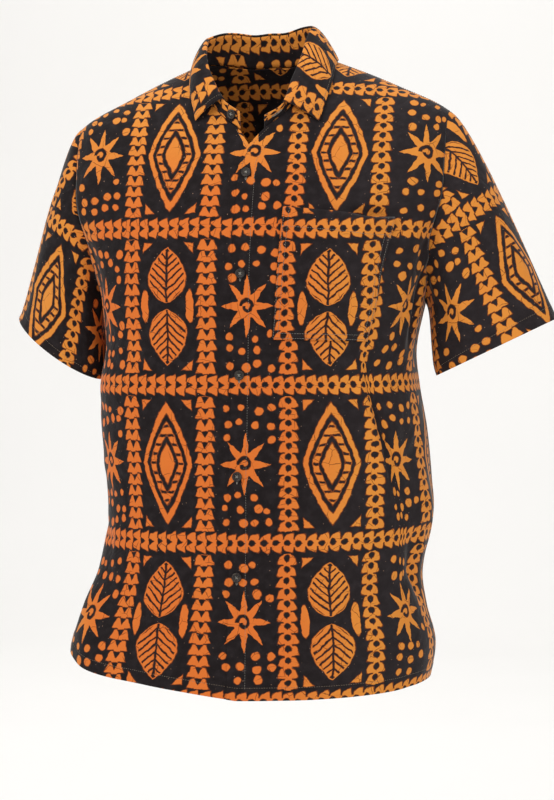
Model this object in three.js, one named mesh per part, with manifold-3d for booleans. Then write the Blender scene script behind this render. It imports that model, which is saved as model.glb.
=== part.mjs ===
// A short-sleeved batik shirt in the shape it takes when worn, left hollow.
// Millimetres, +Z up, the front faces -Y and the wearer's left side is +X.
// The origin is midway between the two points where collar and shoulder seams meet.

import * as THREE from "three";
import Module from "manifold-3d";
import { mergeVertices } from "three/addons/utils/BufferGeometryUtils.js";

const wasm = await Module();
wasm.setup();

// Levels and lengths of the cut
const CHEST_LEVEL = -290;
const HEM_LEVEL = -755;
const HALF_PANEL = 280;
const SHOULDER_END = 245;
const NECK_POINT = 78;
const SHOULDER_SEAM_Y = 5;

// One shoulder is carried a little higher than the other
const SHOULDER_TILT = 0.035;

// Cloth and seams
const CLOTH = 1.6;
const COLLAR_CLOTH = 2;
const SEAM_GAP = 0.3;
const LAP_RISE = 2.2;
const LAP_FADE = { full: 22, none: 60 };

// The sleeve head pushes the outer part of the panels outward
const SLEEVE_PUSH = { amount: 8, from: 150, full: 230 };

// Buttons
const BUTTON = { radius: 5.75, height: 2.4, rim: 1.5, dish: 0.6, hole: 0.8, spread: 1.5, count: 5 };
const BUTTON_TOP_LEVEL = -141;
const BUTTON_PITCH = 117.7;
const HOLE_SIDES = 6;
const BUTTON_SIDES = 18;

// Steps of the meshes
const RING_STEPS = 60;
const ACROSS_FRONT = 14;
const LOWER_ROWS = 14;
const SLEEVE_COLUMNS = 24;
const SLEEVE_ROWS = 9;
const COLLAR_COLUMNS = 32;
const BAND_ROWS = 2;
const LEAF_ROWS = 8;
const POCKET_ROWS = 7;
const NECK_STEPS = 60;
const CURVE_STEPS = 80;
const BACK_COLUMNS = [0, 26, 52, 78, 106, 134, 162, 190, 218, 245];

function table(names, rows) {
  return rows.map((row) => Object.fromEntries(names.map((name, i) => [name, row[i]])));
}

// Level lines round the body: reach to each side, depth to front and back, roundness
const BODY = table(
  ["level", "left", "right", "mid", "front", "back", "bend"],
  [
    [-755, 200, 243, -7, 146, 128, 2.4],
    [-700, 209, 234, -7, 143, 124, 2.4],
    [-655, 198, 216, -7, 141, 118, 2.45],
    [-613, 193, 196, -7, 139, 112, 2.5],
    [-545, 206, 188, -7, 137, 107, 2.5],
    [-500, 204, 190, -7, 137, 106, 2.5],
    [-440, 198, 196, -5, 139, 109, 2.5],
    [-390, 189, 197, -4, 140, 114, 2.55],
    [-345, 185, 190, -3, 140, 119, 2.6],
    [-290, 196, 196, -3, 140, 123, 2.6],
  ],
);

// How far the hem is lifted, by share of the way from the centre to the side seam
const HEM_LIFT = table(
  ["share", "left", "right"],
  [
    [0, 0, 0],
    [0.35, 3, 14],
    [0.65, 8, 26],
    [0.85, 13, 46],
    [1, 14, 53],
    [1.15, 12, 44],
  ],
);

// The shoulder seam, by distance across the cloth from the centre
const SHOULDER = table(
  ["across", "x", "z"],
  [
    [0, 0, 14],
    [40, 40, 10],
    [78, 78, 0],
    [130, 128, -20],
    [180, 175, -42],
    [215, 206, -57],
    [245, 226, -70],
    [285, 256, -96],
  ],
);

// Roundness of the way up from the chest line over the shoulder
const ARCH = table(
  ["across", "front", "back"],
  [
    [0, 1.7, 2.4],
    [80, 1.75, 2.3],
    [170, 2.1, 2.3],
    [240, 2.9, 2.7],
    [280, 3, 3],
  ],
);

// Edges of the upper panels, by rise from the chest line (0) to the shoulder seam (1)
const ARMHOLE = table(
  ["rise", "front", "back"],
  [
    [0, 280, 280],
    [0.045, 266, 268],
    [0.11, 247, 252],
    [0.22, 231, 239],
    [0.33, 228, 236],
    [0.43, 231, 237],
    [0.55, 237, 240],
    [0.75, 243, 243],
    [1, 245, 245],
  ],
);
const FRONT_EDGE = table(
  ["rise", "left", "right"],
  [
    [0.38, -10, 10],
    [0.43, -2, 3],
    [0.465, 7, -5],
    [0.5, 17, -12],
  ],
);
const FRONT_NECK = table(
  ["rise", "left", "right"],
  [
    [0.5, 17, -12],
    [0.555, 36, -33],
    [0.63, 51, -50],
    [0.73, 63, -63],
    [0.86, 72, -72],
    [1, 78, -78],
  ],
);
const BACK_NECK = table(
  ["across", "rise"],
  [
    [0, 0.74],
    [26, 0.755],
    [52, 0.83],
    [68, 0.91],
    [78, 1],
  ],
);
const UPPER_RISES = [
  0.07, 0.14, 0.2, 0.26, 0.32, 0.38, 0.43, 0.465, 0.5, 0.53, 0.565, 0.61, 0.67, 0.74, 0.81, 0.88, 0.95, 1,
];

// Largest folds: from one point of the cloth to another, half width and height
const FOLDS = table(
  ["side", "fromAcross", "fromLevel", "toAcross", "toLevel", "width", "height"],
  [
    ["front", 230, -170, 226, -345, 15, -7],
    ["front", 196, -160, 200, -345, 18, 3],
    ["front", -228, -190, -216, -360, 16, -6],
    ["front", 178, -385, 190, -540, 15, 4],
    ["front", 205, -560, 262, -650, 14, -6],
    ["front", 225, -480, 275, -600, 18, 4],
    ["front", -240, -560, -170, -760, 24, 6],
    ["front", -150, -600, -110, -770, 20, -4],
    ["front", 60, -640, 70, -775, 24, 3],
    ["back", 210, -230, 150, -520, 18, -6],
    ["back", -212, -240, -140, -560, 18, -6],
    ["back", 60, -380, 90, -770, 26, 6],
    ["back", -70, -420, -60, -770, 28, 6],
    ["back", 5, -470, 10, -770, 22, -5],
    ["back", -190, -520, -180, -770, 24, 5],
    ["back", 180, -560, 190, -770, 24, 5],
  ],
);

// Sleeves: cuff centre, arm direction, long axis of the cuff, half sizes
const SLEEVES = {
  left: {
    side: 1,
    cuff: [283, -2, -344],
    arm: [0.43, 0.03, -0.9],
    long: [0.9, 0, 0.43],
    half: [79, 50],
    headPull: 95,
    cuffPull: 170,
  },
  right: {
    side: -1,
    cuff: [-260, 34, -344],
    arm: [-0.5, 0.16, -0.85],
    long: [-0.66, 0.54, 0.52],
    half: [78, 50],
    headPull: 85,
    cuffPull: 150,
  },
};

// Way out of the armhole, by share of the turn from the shoulder tip round the front
const SLEEVE_START = table(
  ["turn", "out", "forward", "up", "pull", "settle", "gap"],
  [
    [0, 0.9, 0, -0.44, 1, 1, 0.6],
    [0.12, 0.92, 0.25, -0.3, 1, 1, 1.1],
    [0.25, 0.93, 0.32, -0.2, 0.9, 0.9, 1.4],
    [0.4, 0.9, 0.2, -0.35, 0.5, 0.6, 1.5],
    [0.5, 0.85, 0, -0.5, 0.35, 0.4, 2],
    [0.6, 0.9, -0.2, -0.35, 0.5, 0.6, 1.5],
    [0.75, 0.93, -0.32, -0.2, 0.9, 0.9, 1.6],
    [0.88, 0.92, -0.25, -0.3, 1, 1, 1.4],
    [1, 0.9, 0, -0.44, 1, 1, 0.6],
  ],
);
const SLEEVE_FOLDS = table(
  ["fromTurn", "fromAlong", "toTurn", "toAlong", "width", "height"],
  [
    [0.3, 0.15, 0.2, 0.85, 0.05, -5],
    [0.38, 0.2, 0.38, 0.98, 0.05, -4],
    [0.2, 0.15, 0.1, 0.95, 0.06, 4],
    [0.7, 0.15, 0.8, 0.85, 0.05, -5],
    [0.62, 0.2, 0.64, 0.98, 0.05, 4],
  ],
);

// Collar band, by share of the half neckline from the centre back (0) to its end (1)
const BAND = table(
  ["share", "leftUp", "leftLean", "rightUp", "rightLean"],
  [
    [0, 38, 8, 38, 8],
    [0.25, 38, 12, 36, 10],
    [0.4, 34, 17, 29, 9],
    [0.6, 28, 14, 26, 5],
    [0.8, 24, 7, 24, 2],
    [0.9, 13, -5, 20, -2],
    [1, 15, -5, 20, -2],
  ],
);
const BAND_CLEAR = 1.7;
const BAND_CURL = 1.3;
const NECK_CENTRE = [0, -12];
const STAND_BUTTON = { run: -0.95, up: 0.55 };

// Outer edge of the collar leaf on the panels: distance from the centre, and how far
// up the front (0 to 1) and on over the shoulder down the back (1 to 2) it lies
const LEAF_EDGE = table(
  ["share", "left", "leftOver", "right", "rightOver"],
  [
    [0, 0, 1.3, 0, 1.3],
    [0.2, 48, 1.26, 48, 1.26],
    [0.34, 80, 1.16, 76, 1.16],
    [0.43, 90, 1, 84, 1],
    [0.55, 91, 0.86, 84, 0.87],
    [0.7, 90, 0.72, 80, 0.73],
    [0.9, 81, 0.545, 67, 0.56],
  ],
);
const LEAF_END = 0.9;
const LEAF_START = 2.1;
const LEAF_ROLL = 7;
const LEAF_BELLY = 7;
const LEAF_CLEAR = 3.4;

// Chest pocket corners on the left front: distance across and level
const POCKET = {
  topInner: [46, -181],
  topOuter: [176, -192],
  bottomInner: [38, -335],
  bottomOuter: [154, -337],
  lift: CLOTH + 3 * SEAM_GAP,
  gape: 3,
};

const UP = new THREE.Vector3(0, 0, 1);

function mix(a, b, t) {
  return a + (b - a) * t;
}

function ease(from, to, value) {
  const t = Math.min(Math.max((value - from) / (to - from), 0), 1);
  return t * t * (3 - 2 * t);
}

// Smooth curve through one column of a table, read at a value of another column
function read(rows, key, name, at) {
  const last = rows.length - 1;
  if (at <= rows[0][key]) return rows[0][name];
  if (at >= rows[last][key]) return rows[last][name];
  let i = 0;
  while (rows[i + 1][key] < at) i += 1;
  const slope = (k) => {
    const a = rows[Math.max(k - 1, 0)];
    const b = rows[Math.min(k + 1, last)];
    return (b[name] - a[name]) / (b[key] - a[key]);
  };
  const span = rows[i + 1][key] - rows[i][key];
  const t = (at - rows[i][key]) / span;
  const rise = rows[i + 1][name] - rows[i][name];
  const start = slope(i) * span;
  const end = slope(i + 1) * span;
  return rows[i][name] + t * (start + t * (3 * rise - 2 * start - end + t * (start + end - 2 * rise)));
}

// Point on a level line round the body, by signed share of the way to the side seam
function bodyLine(side, level, share) {
  const mid = read(BODY, "level", "mid", level);
  const sign = share < 0 ? -1 : 1;
  const reach = read(BODY, "level", share < 0 ? "right" : "left", level) - sign * mid;
  const depth = read(BODY, "level", side, level);
  const bend = read(BODY, "level", "bend", level);
  const walk = [[0, depth, 0]];
  for (let i = 1; i <= RING_STEPS; i += 1) {
    const angle = (i / RING_STEPS) * (Math.PI / 2);
    const across = Math.sin(angle);
    const ahead = Math.cos(angle);
    const radius = ((across / reach) ** bend + (ahead / depth) ** bend) ** (-1 / bend);
    const [x, y, length] = walk[i - 1];
    const next = [radius * across, radius * ahead];
    walk.push([...next, length + Math.hypot(next[0] - x, next[1] - y)]);
  }
  const wanted = Math.abs(share) * walk[RING_STEPS][2];
  let i = 1;
  while (i < RING_STEPS && walk[i][2] < wanted) i += 1;
  const t = (wanted - walk[i - 1][2]) / (walk[i][2] - walk[i - 1][2]);
  const x = mix(walk[i - 1][0], walk[i][0], t);
  const y = mix(walk[i - 1][1], walk[i][1], t);
  return new THREE.Vector3(mid + sign * x, side === "front" ? -y : y, level);
}

// Smooth cloth without folds. Fall is negative down to the hem, rise is positive up to
// the shoulder seam; both are 0 on the chest line.
function smoothCloth(side, across, rise) {
  const share = across / HALF_PANEL;
  if (rise <= 0) {
    const lift = read(HEM_LIFT, "share", share < 0 ? "right" : "left", Math.abs(share));
    return bodyLine(side, mix(CHEST_LEVEL, HEM_LEVEL + lift, -rise), share);
  }
  const far = Math.abs(across);
  const base = bodyLine(side, CHEST_LEVEL, share);
  const topX = Math.sign(across) * read(SHOULDER, "across", "x", far);
  const topZ = read(SHOULDER, "across", "z", far) + SHOULDER_TILT * topX;
  const bend = read(ARCH, "across", side, far);
  const angle = rise * (Math.PI / 2);
  const radius = (Math.sin(angle) ** bend + Math.max(Math.cos(angle), 0) ** bend) ** (-1 / bend);
  const up = Math.min(radius * Math.sin(angle), 1);
  const out = Math.max(radius * Math.cos(angle), 0);
  const push = SLEEVE_PUSH.amount * Math.sin(Math.PI * up) * ease(SLEEVE_PUSH.from, SLEEVE_PUSH.full, far);
  const x = mix(base.x, topX, ease(0, 0.65, up)) + Math.sign(across) * push;
  const y = mix(SHOULDER_SEAM_Y, base.y, out);
  return new THREE.Vector3(x, y, mix(CHEST_LEVEL, topZ, up));
}

function foldHeight(side, across, level) {
  let height = 0;
  for (const fold of FOLDS) {
    if (fold.side !== side) continue;
    const run = [fold.toAcross - fold.fromAcross, fold.toLevel - fold.fromLevel];
    const offset = [across - fold.fromAcross, level - fold.fromLevel];
    const length = Math.hypot(run[0], run[1]);
    const along = (offset[0] * run[0] + offset[1] * run[1]) / length ** 2;
    if (along <= 0 || along >= 1) continue;
    const aside = (offset[0] * run[1] - offset[1] * run[0]) / length;
    height += fold.height * Math.sin(Math.PI * along) * Math.exp(-((aside / fold.width) ** 2));
  }
  return height;
}

// Cloth with its folds, moved out along its own normal
function clothPoint(side, across, rise, out = 0) {
  const step = rise > 0.99 ? -0.004 : 0.004;
  const here = smoothCloth(side, across, rise);
  const aside = smoothCloth(side, across + 1, rise).sub(here);
  const above = smoothCloth(side, across, rise + step).sub(here);
  const normal = aside.cross(above).normalize();
  const outward = side === "front" ? 1 : -1;
  if (normal.y * outward > 0 || (rise > 0.9 && normal.z < 0)) normal.negate();
  return here.addScaledVector(normal, foldHeight(side, across, here.z) + out);
}

// Rise of the front cloth at a level, found by halving
function riseAt(side, across, level) {
  let low = -1;
  let high = 1;
  for (let i = 0; i < 30; i += 1) {
    const middle = (low + high) / 2;
    if (smoothCloth(side, across, middle).z < level) low = middle;
    else high = middle;
  }
  return (low + high) / 2;
}

// Closed wall of even thickness round a grid of points
function wall(grid, thickness, round = false) {
  const columns = grid.length;
  const rows = grid[0].length;
  const column = (i) => (round ? (i + columns) % columns : Math.min(Math.max(i, 0), columns - 1));
  const row = (j) => Math.min(Math.max(j, 0), rows - 1);
  const positions = [];
  for (const sideways of [0.5, -0.5]) {
    for (let i = 0; i < columns; i += 1) {
      for (let j = 0; j < rows; j += 1) {
        const du = grid[column(i + 1)][j].clone().sub(grid[column(i - 1)][j]);
        const dv = grid[i][row(j + 1)].clone().sub(grid[i][row(j - 1)]);
        const normal = du.cross(dv).normalize();
        const point = grid[i][j].clone().addScaledVector(normal, sideways * thickness);
        positions.push(point.x, point.y, point.z);
      }
    }
  }
  const far = columns * rows;
  const index = [];
  const quad = (a, b, c, d) => index.push(a, b, c, a, c, d);
  const lastColumn = round ? columns : columns - 1;
  for (let i = 0; i < lastColumn; i += 1) {
    const next = column(i + 1);
    for (let j = 0; j < rows - 1; j += 1) {
      const [a, b, c, d] = [i * rows + j, next * rows + j, next * rows + j + 1, i * rows + j + 1];
      quad(a, b, c, d);
      quad(far + d, far + c, far + b, far + a);
    }
    const [lowA, lowB] = [i * rows, next * rows];
    const [highA, highB] = [lowA + rows - 1, lowB + rows - 1];
    quad(far + lowA, far + lowB, lowB, lowA);
    quad(highA, highB, far + highB, far + highA);
  }
  if (!round) {
    const end = (columns - 1) * rows;
    for (let j = 0; j < rows - 1; j += 1) {
      quad(j, j + 1, far + j + 1, far + j);
      quad(far + end + j, far + end + j + 1, end + j + 1, end + j);
    }
  }
  return turnedOut(positions, index);
}

// Geometry whose faces point outward, whichever way its grid ran
function turnedOut(positions, index) {
  const at = (i) => new THREE.Vector3().fromArray(positions, 3 * i);
  let volume = 0;
  for (let i = 0; i < index.length; i += 3) {
    volume += at(index[i]).dot(at(index[i + 1]).cross(at(index[i + 2])));
  }
  if (volume < 0) index.reverse();
  const geometry = new THREE.BufferGeometry();
  geometry.setAttribute("position", new THREE.Float32BufferAttribute(positions, 3));
  geometry.setIndex(index);
  return geometry;
}

function steps(count) {
  return Array.from({ length: count + 1 }, (_, i) => i / count);
}

// Rises of a panel's rows, from the hem to the shoulder seam
function panelRises() {
  const lower = steps(LOWER_ROWS).map((t) => t - 1);
  return [...lower, ...UPPER_RISES];
}

function frontInner(hand, rise) {
  if (rise < FRONT_EDGE[0].rise) return FRONT_EDGE[0][hand];
  if (rise < FRONT_NECK[0].rise) return read(FRONT_EDGE, "rise", hand, rise);
  return read(FRONT_NECK, "rise", hand, rise);
}

function lapRise(hand, across) {
  if (hand === "right") return 0;
  return LAP_RISE * (1 - ease(LAP_FADE.full, LAP_FADE.none, across));
}

function frontPanel(hand) {
  const sign = hand === "left" ? 1 : -1;
  const grid = steps(ACROSS_FRONT).map((t) =>
    panelRises().map((rise) => {
      const outer = sign * read(ARMHOLE, "rise", "front", rise);
      const across = mix(frontInner(hand, rise), outer, t);
      return clothPoint("front", across, rise, lapRise(hand, across));
    }),
  );
  drawBack(grid[ACROSS_FRONT], grid[ACROSS_FRONT - 1], SEAM_GAP / 2);
  const top = grid[0].length - 1;
  const lastRow = (j) => grid.map((column) => column[j]);
  drawBack(lastRow(top), lastRow(top - 1), SEAM_GAP);
  return grid;
}

// Draws a row or column of seam points back towards its neighbours
function drawBack(edge, inner, amount) {
  edge.forEach((point, i) => {
    const way = inner[i].clone().sub(point).normalize();
    point.addScaledVector(way, amount);
  });
}

function backPanel() {
  const half = BACK_COLUMNS.slice(1);
  const columns = [...half.map((across) => -across).reverse(), ...BACK_COLUMNS];
  const grid = columns.map((across) =>
    panelRises().map((rise) => {
      const atTop = read(BACK_NECK, "across", "rise", Math.abs(across));
      const outer = read(ARMHOLE, "rise", "back", rise);
      return clothPoint("back", (across / SHOULDER_END) * outer, rise > 0 ? rise * atTop : rise);
    }),
  );
  const last = grid.length - 1;
  drawBack(grid[0], grid[1], SEAM_GAP / 2);
  drawBack(grid[last], grid[last - 1], SEAM_GAP / 2);
  return grid;
}

// Evenly spaced parameters along a curve of points
function evenly(pointAt, from, to, count) {
  const lengths = [0];
  let before = pointAt(from);
  for (let i = 1; i <= CURVE_STEPS; i += 1) {
    const point = pointAt(mix(from, to, i / CURVE_STEPS));
    lengths.push(lengths[i - 1] + point.distanceTo(before));
    before = point;
  }
  return steps(count).map((share) => {
    const wanted = share * lengths[CURVE_STEPS];
    let i = 1;
    while (i < CURVE_STEPS && lengths[i] < wanted) i += 1;
    const t = (wanted - lengths[i - 1]) / (lengths[i] - lengths[i - 1]);
    return mix(from, to, (i - 1 + t) / CURVE_STEPS);
  });
}

// Armhole edge from the shoulder tip down the front and up the back, as a closed ring
function armholeRing(sign) {
  const edge = (side) => (rise) => clothPoint(side, sign * read(ARMHOLE, "rise", side, rise), rise);
  const half = SLEEVE_COLUMNS / 2;
  const front = evenly(edge("front"), 1, 0, half).map(edge("front"));
  const back = evenly(edge("back"), 0, 1, half).map(edge("back"));
  return [...front.slice(0, half), ...back.slice(0, half)];
}

function sleeveFold(turn, along) {
  let height = 0;
  for (const fold of SLEEVE_FOLDS) {
    const way = (along - fold.fromAlong) / (fold.toAlong - fold.fromAlong);
    if (way <= 0 || way >= 1) continue;
    const aside = (turn - mix(fold.fromTurn, fold.toTurn, way)) / fold.width;
    height += fold.height * Math.sin(Math.PI * way) * Math.exp(-(aside ** 2));
  }
  return height;
}

// Tube from the armhole ring to the cuff, each column a smooth curve
function sleeve(hand) {
  const { side, cuff, arm, long, half, headPull, cuffPull } = SLEEVES[hand];
  const centre = new THREE.Vector3(...cuff);
  const down = new THREE.Vector3(...arm).normalize();
  const longAxis = new THREE.Vector3(...long);
  longAxis.addScaledVector(down, -longAxis.dot(down)).normalize();
  const forward = new THREE.Vector3().crossVectors(longAxis, down).normalize();
  if (forward.y > 0) forward.negate();
  return armholeRing(side).map((edge, i) => {
    const turn = i / SLEEVE_COLUMNS;
    const angle = 2 * Math.PI * turn;
    const radial = longAxis.clone().multiplyScalar(half[0] * Math.cos(angle));
    radial.addScaledVector(forward, half[1] * Math.sin(angle));
    const end = centre.clone().add(radial);
    radial.normalize();
    const start = (name) => read(SLEEVE_START, "turn", name, turn);
    const way = new THREE.Vector3(side * start("out"), -start("forward"), start("up")).normalize();
    edge.addScaledVector(way, start("gap"));
    return steps(SLEEVE_ROWS).map((t) => {
      const point = edge.clone().multiplyScalar((1 + 2 * t) * (1 - t) ** 2);
      point.addScaledVector(way, headPull * start("pull") * t * (1 - t) ** 2);
      point.addScaledVector(end, t * t * (3 - 2 * t));
      point.addScaledVector(down, cuffPull * start("settle") * t * t * (t - 1));
      return point.addScaledVector(radial, sleeveFold(turn, t));
    });
  });
}

// Half of the neckline, from the centre back (0) over the neck point (1) to the front (2)
function halfNeck(hand) {
  const sign = hand === "left" ? 1 : -1;
  return (run) => {
    if (run < 1) {
      const across = NECK_POINT * run;
      return clothPoint("back", sign * across, read(BACK_NECK, "across", "rise", across));
    }
    const rise = mix(1, FRONT_NECK[0].rise, run - 1);
    return clothPoint("front", read(FRONT_NECK, "rise", hand, rise), rise);
  };
}

const NECK_RUNS = {
  left: evenly(halfNeck("left"), 0, 2, NECK_STEPS),
  right: evenly(halfNeck("right"), 0, 2, NECK_STEPS),
};

function neckPoint(hand, share) {
  const place = share * NECK_STEPS;
  const i = Math.min(Math.floor(place), NECK_STEPS - 1);
  return halfNeck(hand)(mix(NECK_RUNS[hand][i], NECK_RUNS[hand][i + 1], place - i));
}

function towardsNeck(point) {
  return new THREE.Vector3(NECK_CENTRE[0] - point.x, NECK_CENTRE[1] - point.y, 0).normalize();
}

// Point of the collar band: run is -1 at its right end, 0 at the back, 1 at its left end
function bandPoint(run, up) {
  const hand = run < 0 ? "right" : "left";
  const share = Math.abs(run);
  const point = neckPoint(hand, share);
  const inward = towardsNeck(point);
  point.addScaledVector(UP, BAND_CLEAR + up * read(BAND, "share", `${hand}Up`, share));
  return point.addScaledVector(inward, up ** BAND_CURL * read(BAND, "share", `${hand}Lean`, share));
}

function band() {
  return steps(COLLAR_COLUMNS).map((t) => steps(BAND_ROWS).map((up) => bandPoint(2 * t - 1, up)));
}

// Point of the panels reached from the front chest line (0) over the shoulder (1) to the back
function overShoulder(across, over, out) {
  if (over <= 1) return clothPoint("front", across, over, out);
  return clothPoint("back", across, 2 - over, out);
}

// The leaf rises from the band, rolls over and lies on the panels
function leaf() {
  return steps(COLLAR_COLUMNS).map((t) => {
    const run = (2 * t - 1) * LEAF_END;
    const hand = run < 0 ? "right" : "left";
    const edge = (name) => read(LEAF_EDGE, "share", name, Math.abs(run));
    const start = bandPoint(run, 1).addScaledVector(UP, LEAF_START);
    const across = edge(hand) * (run < 0 ? -1 : 1);
    const end = overShoulder(across, edge(`${hand}Over`), LEAF_CLEAR);
    const away = towardsNeck(start).negate();
    const rolled = start.clone().addScaledVector(UP, LEAF_ROLL).addScaledVector(away, LEAF_ROLL / 4);
    const belly = start.clone().lerp(end, 0.55).addScaledVector(away, LEAF_BELLY);
    belly.addScaledVector(UP, LEAF_BELLY / 2);
    const section = new THREE.CubicBezierCurve3(start, rolled, belly, end);
    return section.getPoints(LEAF_ROWS);
  });
}

function pocket() {
  const { topInner, topOuter, bottomInner, bottomOuter, lift, gape } = POCKET;
  return steps(POCKET_ROWS).map((u) =>
    steps(POCKET_ROWS).map((v) => {
      const across = mix(mix(bottomInner[0], bottomOuter[0], u), mix(topInner[0], topOuter[0], u), v);
      const level = mix(mix(bottomInner[1], bottomOuter[1], u), mix(topInner[1], topOuter[1], u), v);
      const open = gape * ease(0.5, 1, v) * Math.sin(Math.PI * mix(0.15, 0.85, u));
      const out = lapRise("left", across) + lift + open;
      return clothPoint("front", across, riseAt("front", across, level), out);
    }),
  );
}

function solid(geometry) {
  const merged = mergeVertices(geometry, 1e-4);
  const vertProperties = new Float32Array(merged.attributes.position.array);
  const triVerts = new Uint32Array(merged.index.array);
  return new wasm.Manifold(new wasm.Mesh({ numProp: 3, vertProperties, triVerts }));
}

// Dished disc with four sewing holes, its back on z = 0
function buttonGeometry() {
  const { radius, height, rim, dish, hole, spread } = BUTTON;
  const bevel = dish / 2;
  const profile = [
    [0, 0],
    [radius - bevel, 0],
    [radius, bevel],
    [radius, height - bevel],
    [radius - bevel, height],
    [radius - rim, height],
    [radius - rim - dish, height - dish],
    [0, height - dish],
  ].map(([r, y]) => new THREE.Vector2(r, y));
  const bare = (geometry) => {
    geometry.deleteAttribute("normal");
    geometry.deleteAttribute("uv");
    return geometry.rotateX(Math.PI / 2);
  };
  let body = solid(bare(new THREE.LatheGeometry(profile, BUTTON_SIDES)));
  for (const [x, y] of [[1, 1], [1, -1], [-1, 1], [-1, -1]]) {
    const drill = bare(new THREE.CylinderGeometry(hole, hole, 3 * height, HOLE_SIDES));
    body = body.subtract(solid(drill.translate(x * spread, y * spread, 0)));
  }
  const mesh = body.getMesh();
  const geometry = new THREE.BufferGeometry();
  geometry.setAttribute("position", new THREE.BufferAttribute(new Float32Array(mesh.vertProperties), 3));
  geometry.setIndex(new THREE.BufferAttribute(new Uint32Array(mesh.triVerts), 1));
  return geometry;
}

// Seats a button on a point, facing along the normal there
function seated(mesh, point, normal) {
  mesh.position.copy(point);
  mesh.quaternion.setFromUnitVectors(UP, normal);
  return mesh;
}

const shirt = new THREE.Group();
const batik = new THREE.MeshStandardMaterial({ color: "#2b2225", roughness: 0.8, metalness: 0 });
const horn = new THREE.MeshStandardMaterial({ color: "#3a302c", roughness: 0.45, metalness: 0 });

function add(name, geometry, material) {
  const mesh = new THREE.Mesh(geometry, material);
  mesh.name = name;
  shirt.add(mesh);
  return mesh;
}

add("front_left", wall(frontPanel("left"), CLOTH), batik);
add("front_right", wall(frontPanel("right"), CLOTH), batik);
add("back", wall(backPanel(), CLOTH), batik);
add("sleeve_left", wall(sleeve("left"), CLOTH, true), batik);
add("sleeve_right", wall(sleeve("right"), CLOTH, true), batik);
add("collar_stand", wall(band(), COLLAR_CLOTH), batik);
add("collar_leaf", wall(leaf(), CLOTH), batik);
add("pocket", wall(pocket(), CLOTH), batik);

for (let i = 0; i < BUTTON.count; i += 1) {
  const level = BUTTON_TOP_LEVEL - i * BUTTON_PITCH;
  const rise = riseAt("front", 0, level);
  const seat = LAP_RISE + CLOTH / 2 + SEAM_GAP;
  const point = clothPoint("front", 0, rise, seat);
  const normal = clothPoint("front", 0, rise, seat + 1).sub(point).normalize();
  seated(add(`button_${i + 1}`, buttonGeometry(), horn), point, normal);
}

const standAt = bandPoint(STAND_BUTTON.run, STAND_BUTTON.up);
const standAside = bandPoint(STAND_BUTTON.run + 0.02, STAND_BUTTON.up).sub(standAt);
const standAbove = bandPoint(STAND_BUTTON.run, STAND_BUTTON.up + 0.05).sub(standAt);
const standNormal = standAside.cross(standAbove).normalize();
if (standNormal.y > 0) standNormal.negate();
standAt.addScaledVector(standNormal, COLLAR_CLOTH / 2 + SEAM_GAP);
seated(add("button_stand", buttonGeometry(), horn), standAt, standNormal);

export default shirt;
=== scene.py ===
"""Looks of a short-sleeved batik shirt in its worn, hollow shape.

Lengths in the tables are millimetres in the shirt's own frame: +Z up, the front faces -Y,
the wearer's left side is +X, and the origin is midway between the two neck points.
Finished meshes are in metres.
"""
import logging
import math
from dataclasses import dataclass
from enum import Enum
from typing import Sequence

import bmesh
import bpy
import numpy as np
from mathutils import Matrix, Vector


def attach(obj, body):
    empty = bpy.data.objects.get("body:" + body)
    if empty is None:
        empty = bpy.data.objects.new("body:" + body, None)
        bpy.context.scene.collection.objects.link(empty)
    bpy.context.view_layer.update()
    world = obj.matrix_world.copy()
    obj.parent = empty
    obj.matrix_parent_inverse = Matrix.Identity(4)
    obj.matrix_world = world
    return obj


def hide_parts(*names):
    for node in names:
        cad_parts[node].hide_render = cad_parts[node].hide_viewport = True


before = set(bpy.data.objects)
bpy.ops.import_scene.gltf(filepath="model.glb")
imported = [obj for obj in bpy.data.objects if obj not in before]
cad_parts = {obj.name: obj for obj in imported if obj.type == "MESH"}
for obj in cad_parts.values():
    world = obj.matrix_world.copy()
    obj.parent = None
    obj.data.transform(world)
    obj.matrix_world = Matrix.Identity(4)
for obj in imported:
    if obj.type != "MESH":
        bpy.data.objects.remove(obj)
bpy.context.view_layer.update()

BODY_NAME = "root"
MM = 0.001

CHEST_LEVEL = -290.0
HEM_LEVEL = -755.0
LOWER_LENGTH = CHEST_LEVEL - HEM_LEVEL
HALF_PANEL = 280.0
SHOULDER_END = 245.0
NECK_POINT = 78.0
SHOULDER_SEAM_Y = 5.0
SHOULDER_TILT = 0.035
SEAM_GAP = 0.3
RING_STEPS = 60
BODY_CORE = np.array([0.0, 0.0, -400.0])

Colour = tuple[float, float, float, float]
CreaseRows = tuple[tuple[float, ...], ...]

LOG = logging.getLogger("shirt")


class Side(Enum):
    """The two sides of the body that panels are cut for."""

    FRONT = "front"
    BACK = "back"


class Hand(Enum):
    """The wearer's left and right."""

    LEFT = "left"
    RIGHT = "right"

    @property
    def sign(self) -> float:
        """+1 on the wearer's left, which is +X, and -1 on the right."""
        return 1.0 if self is Hand.LEFT else -1.0


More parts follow.
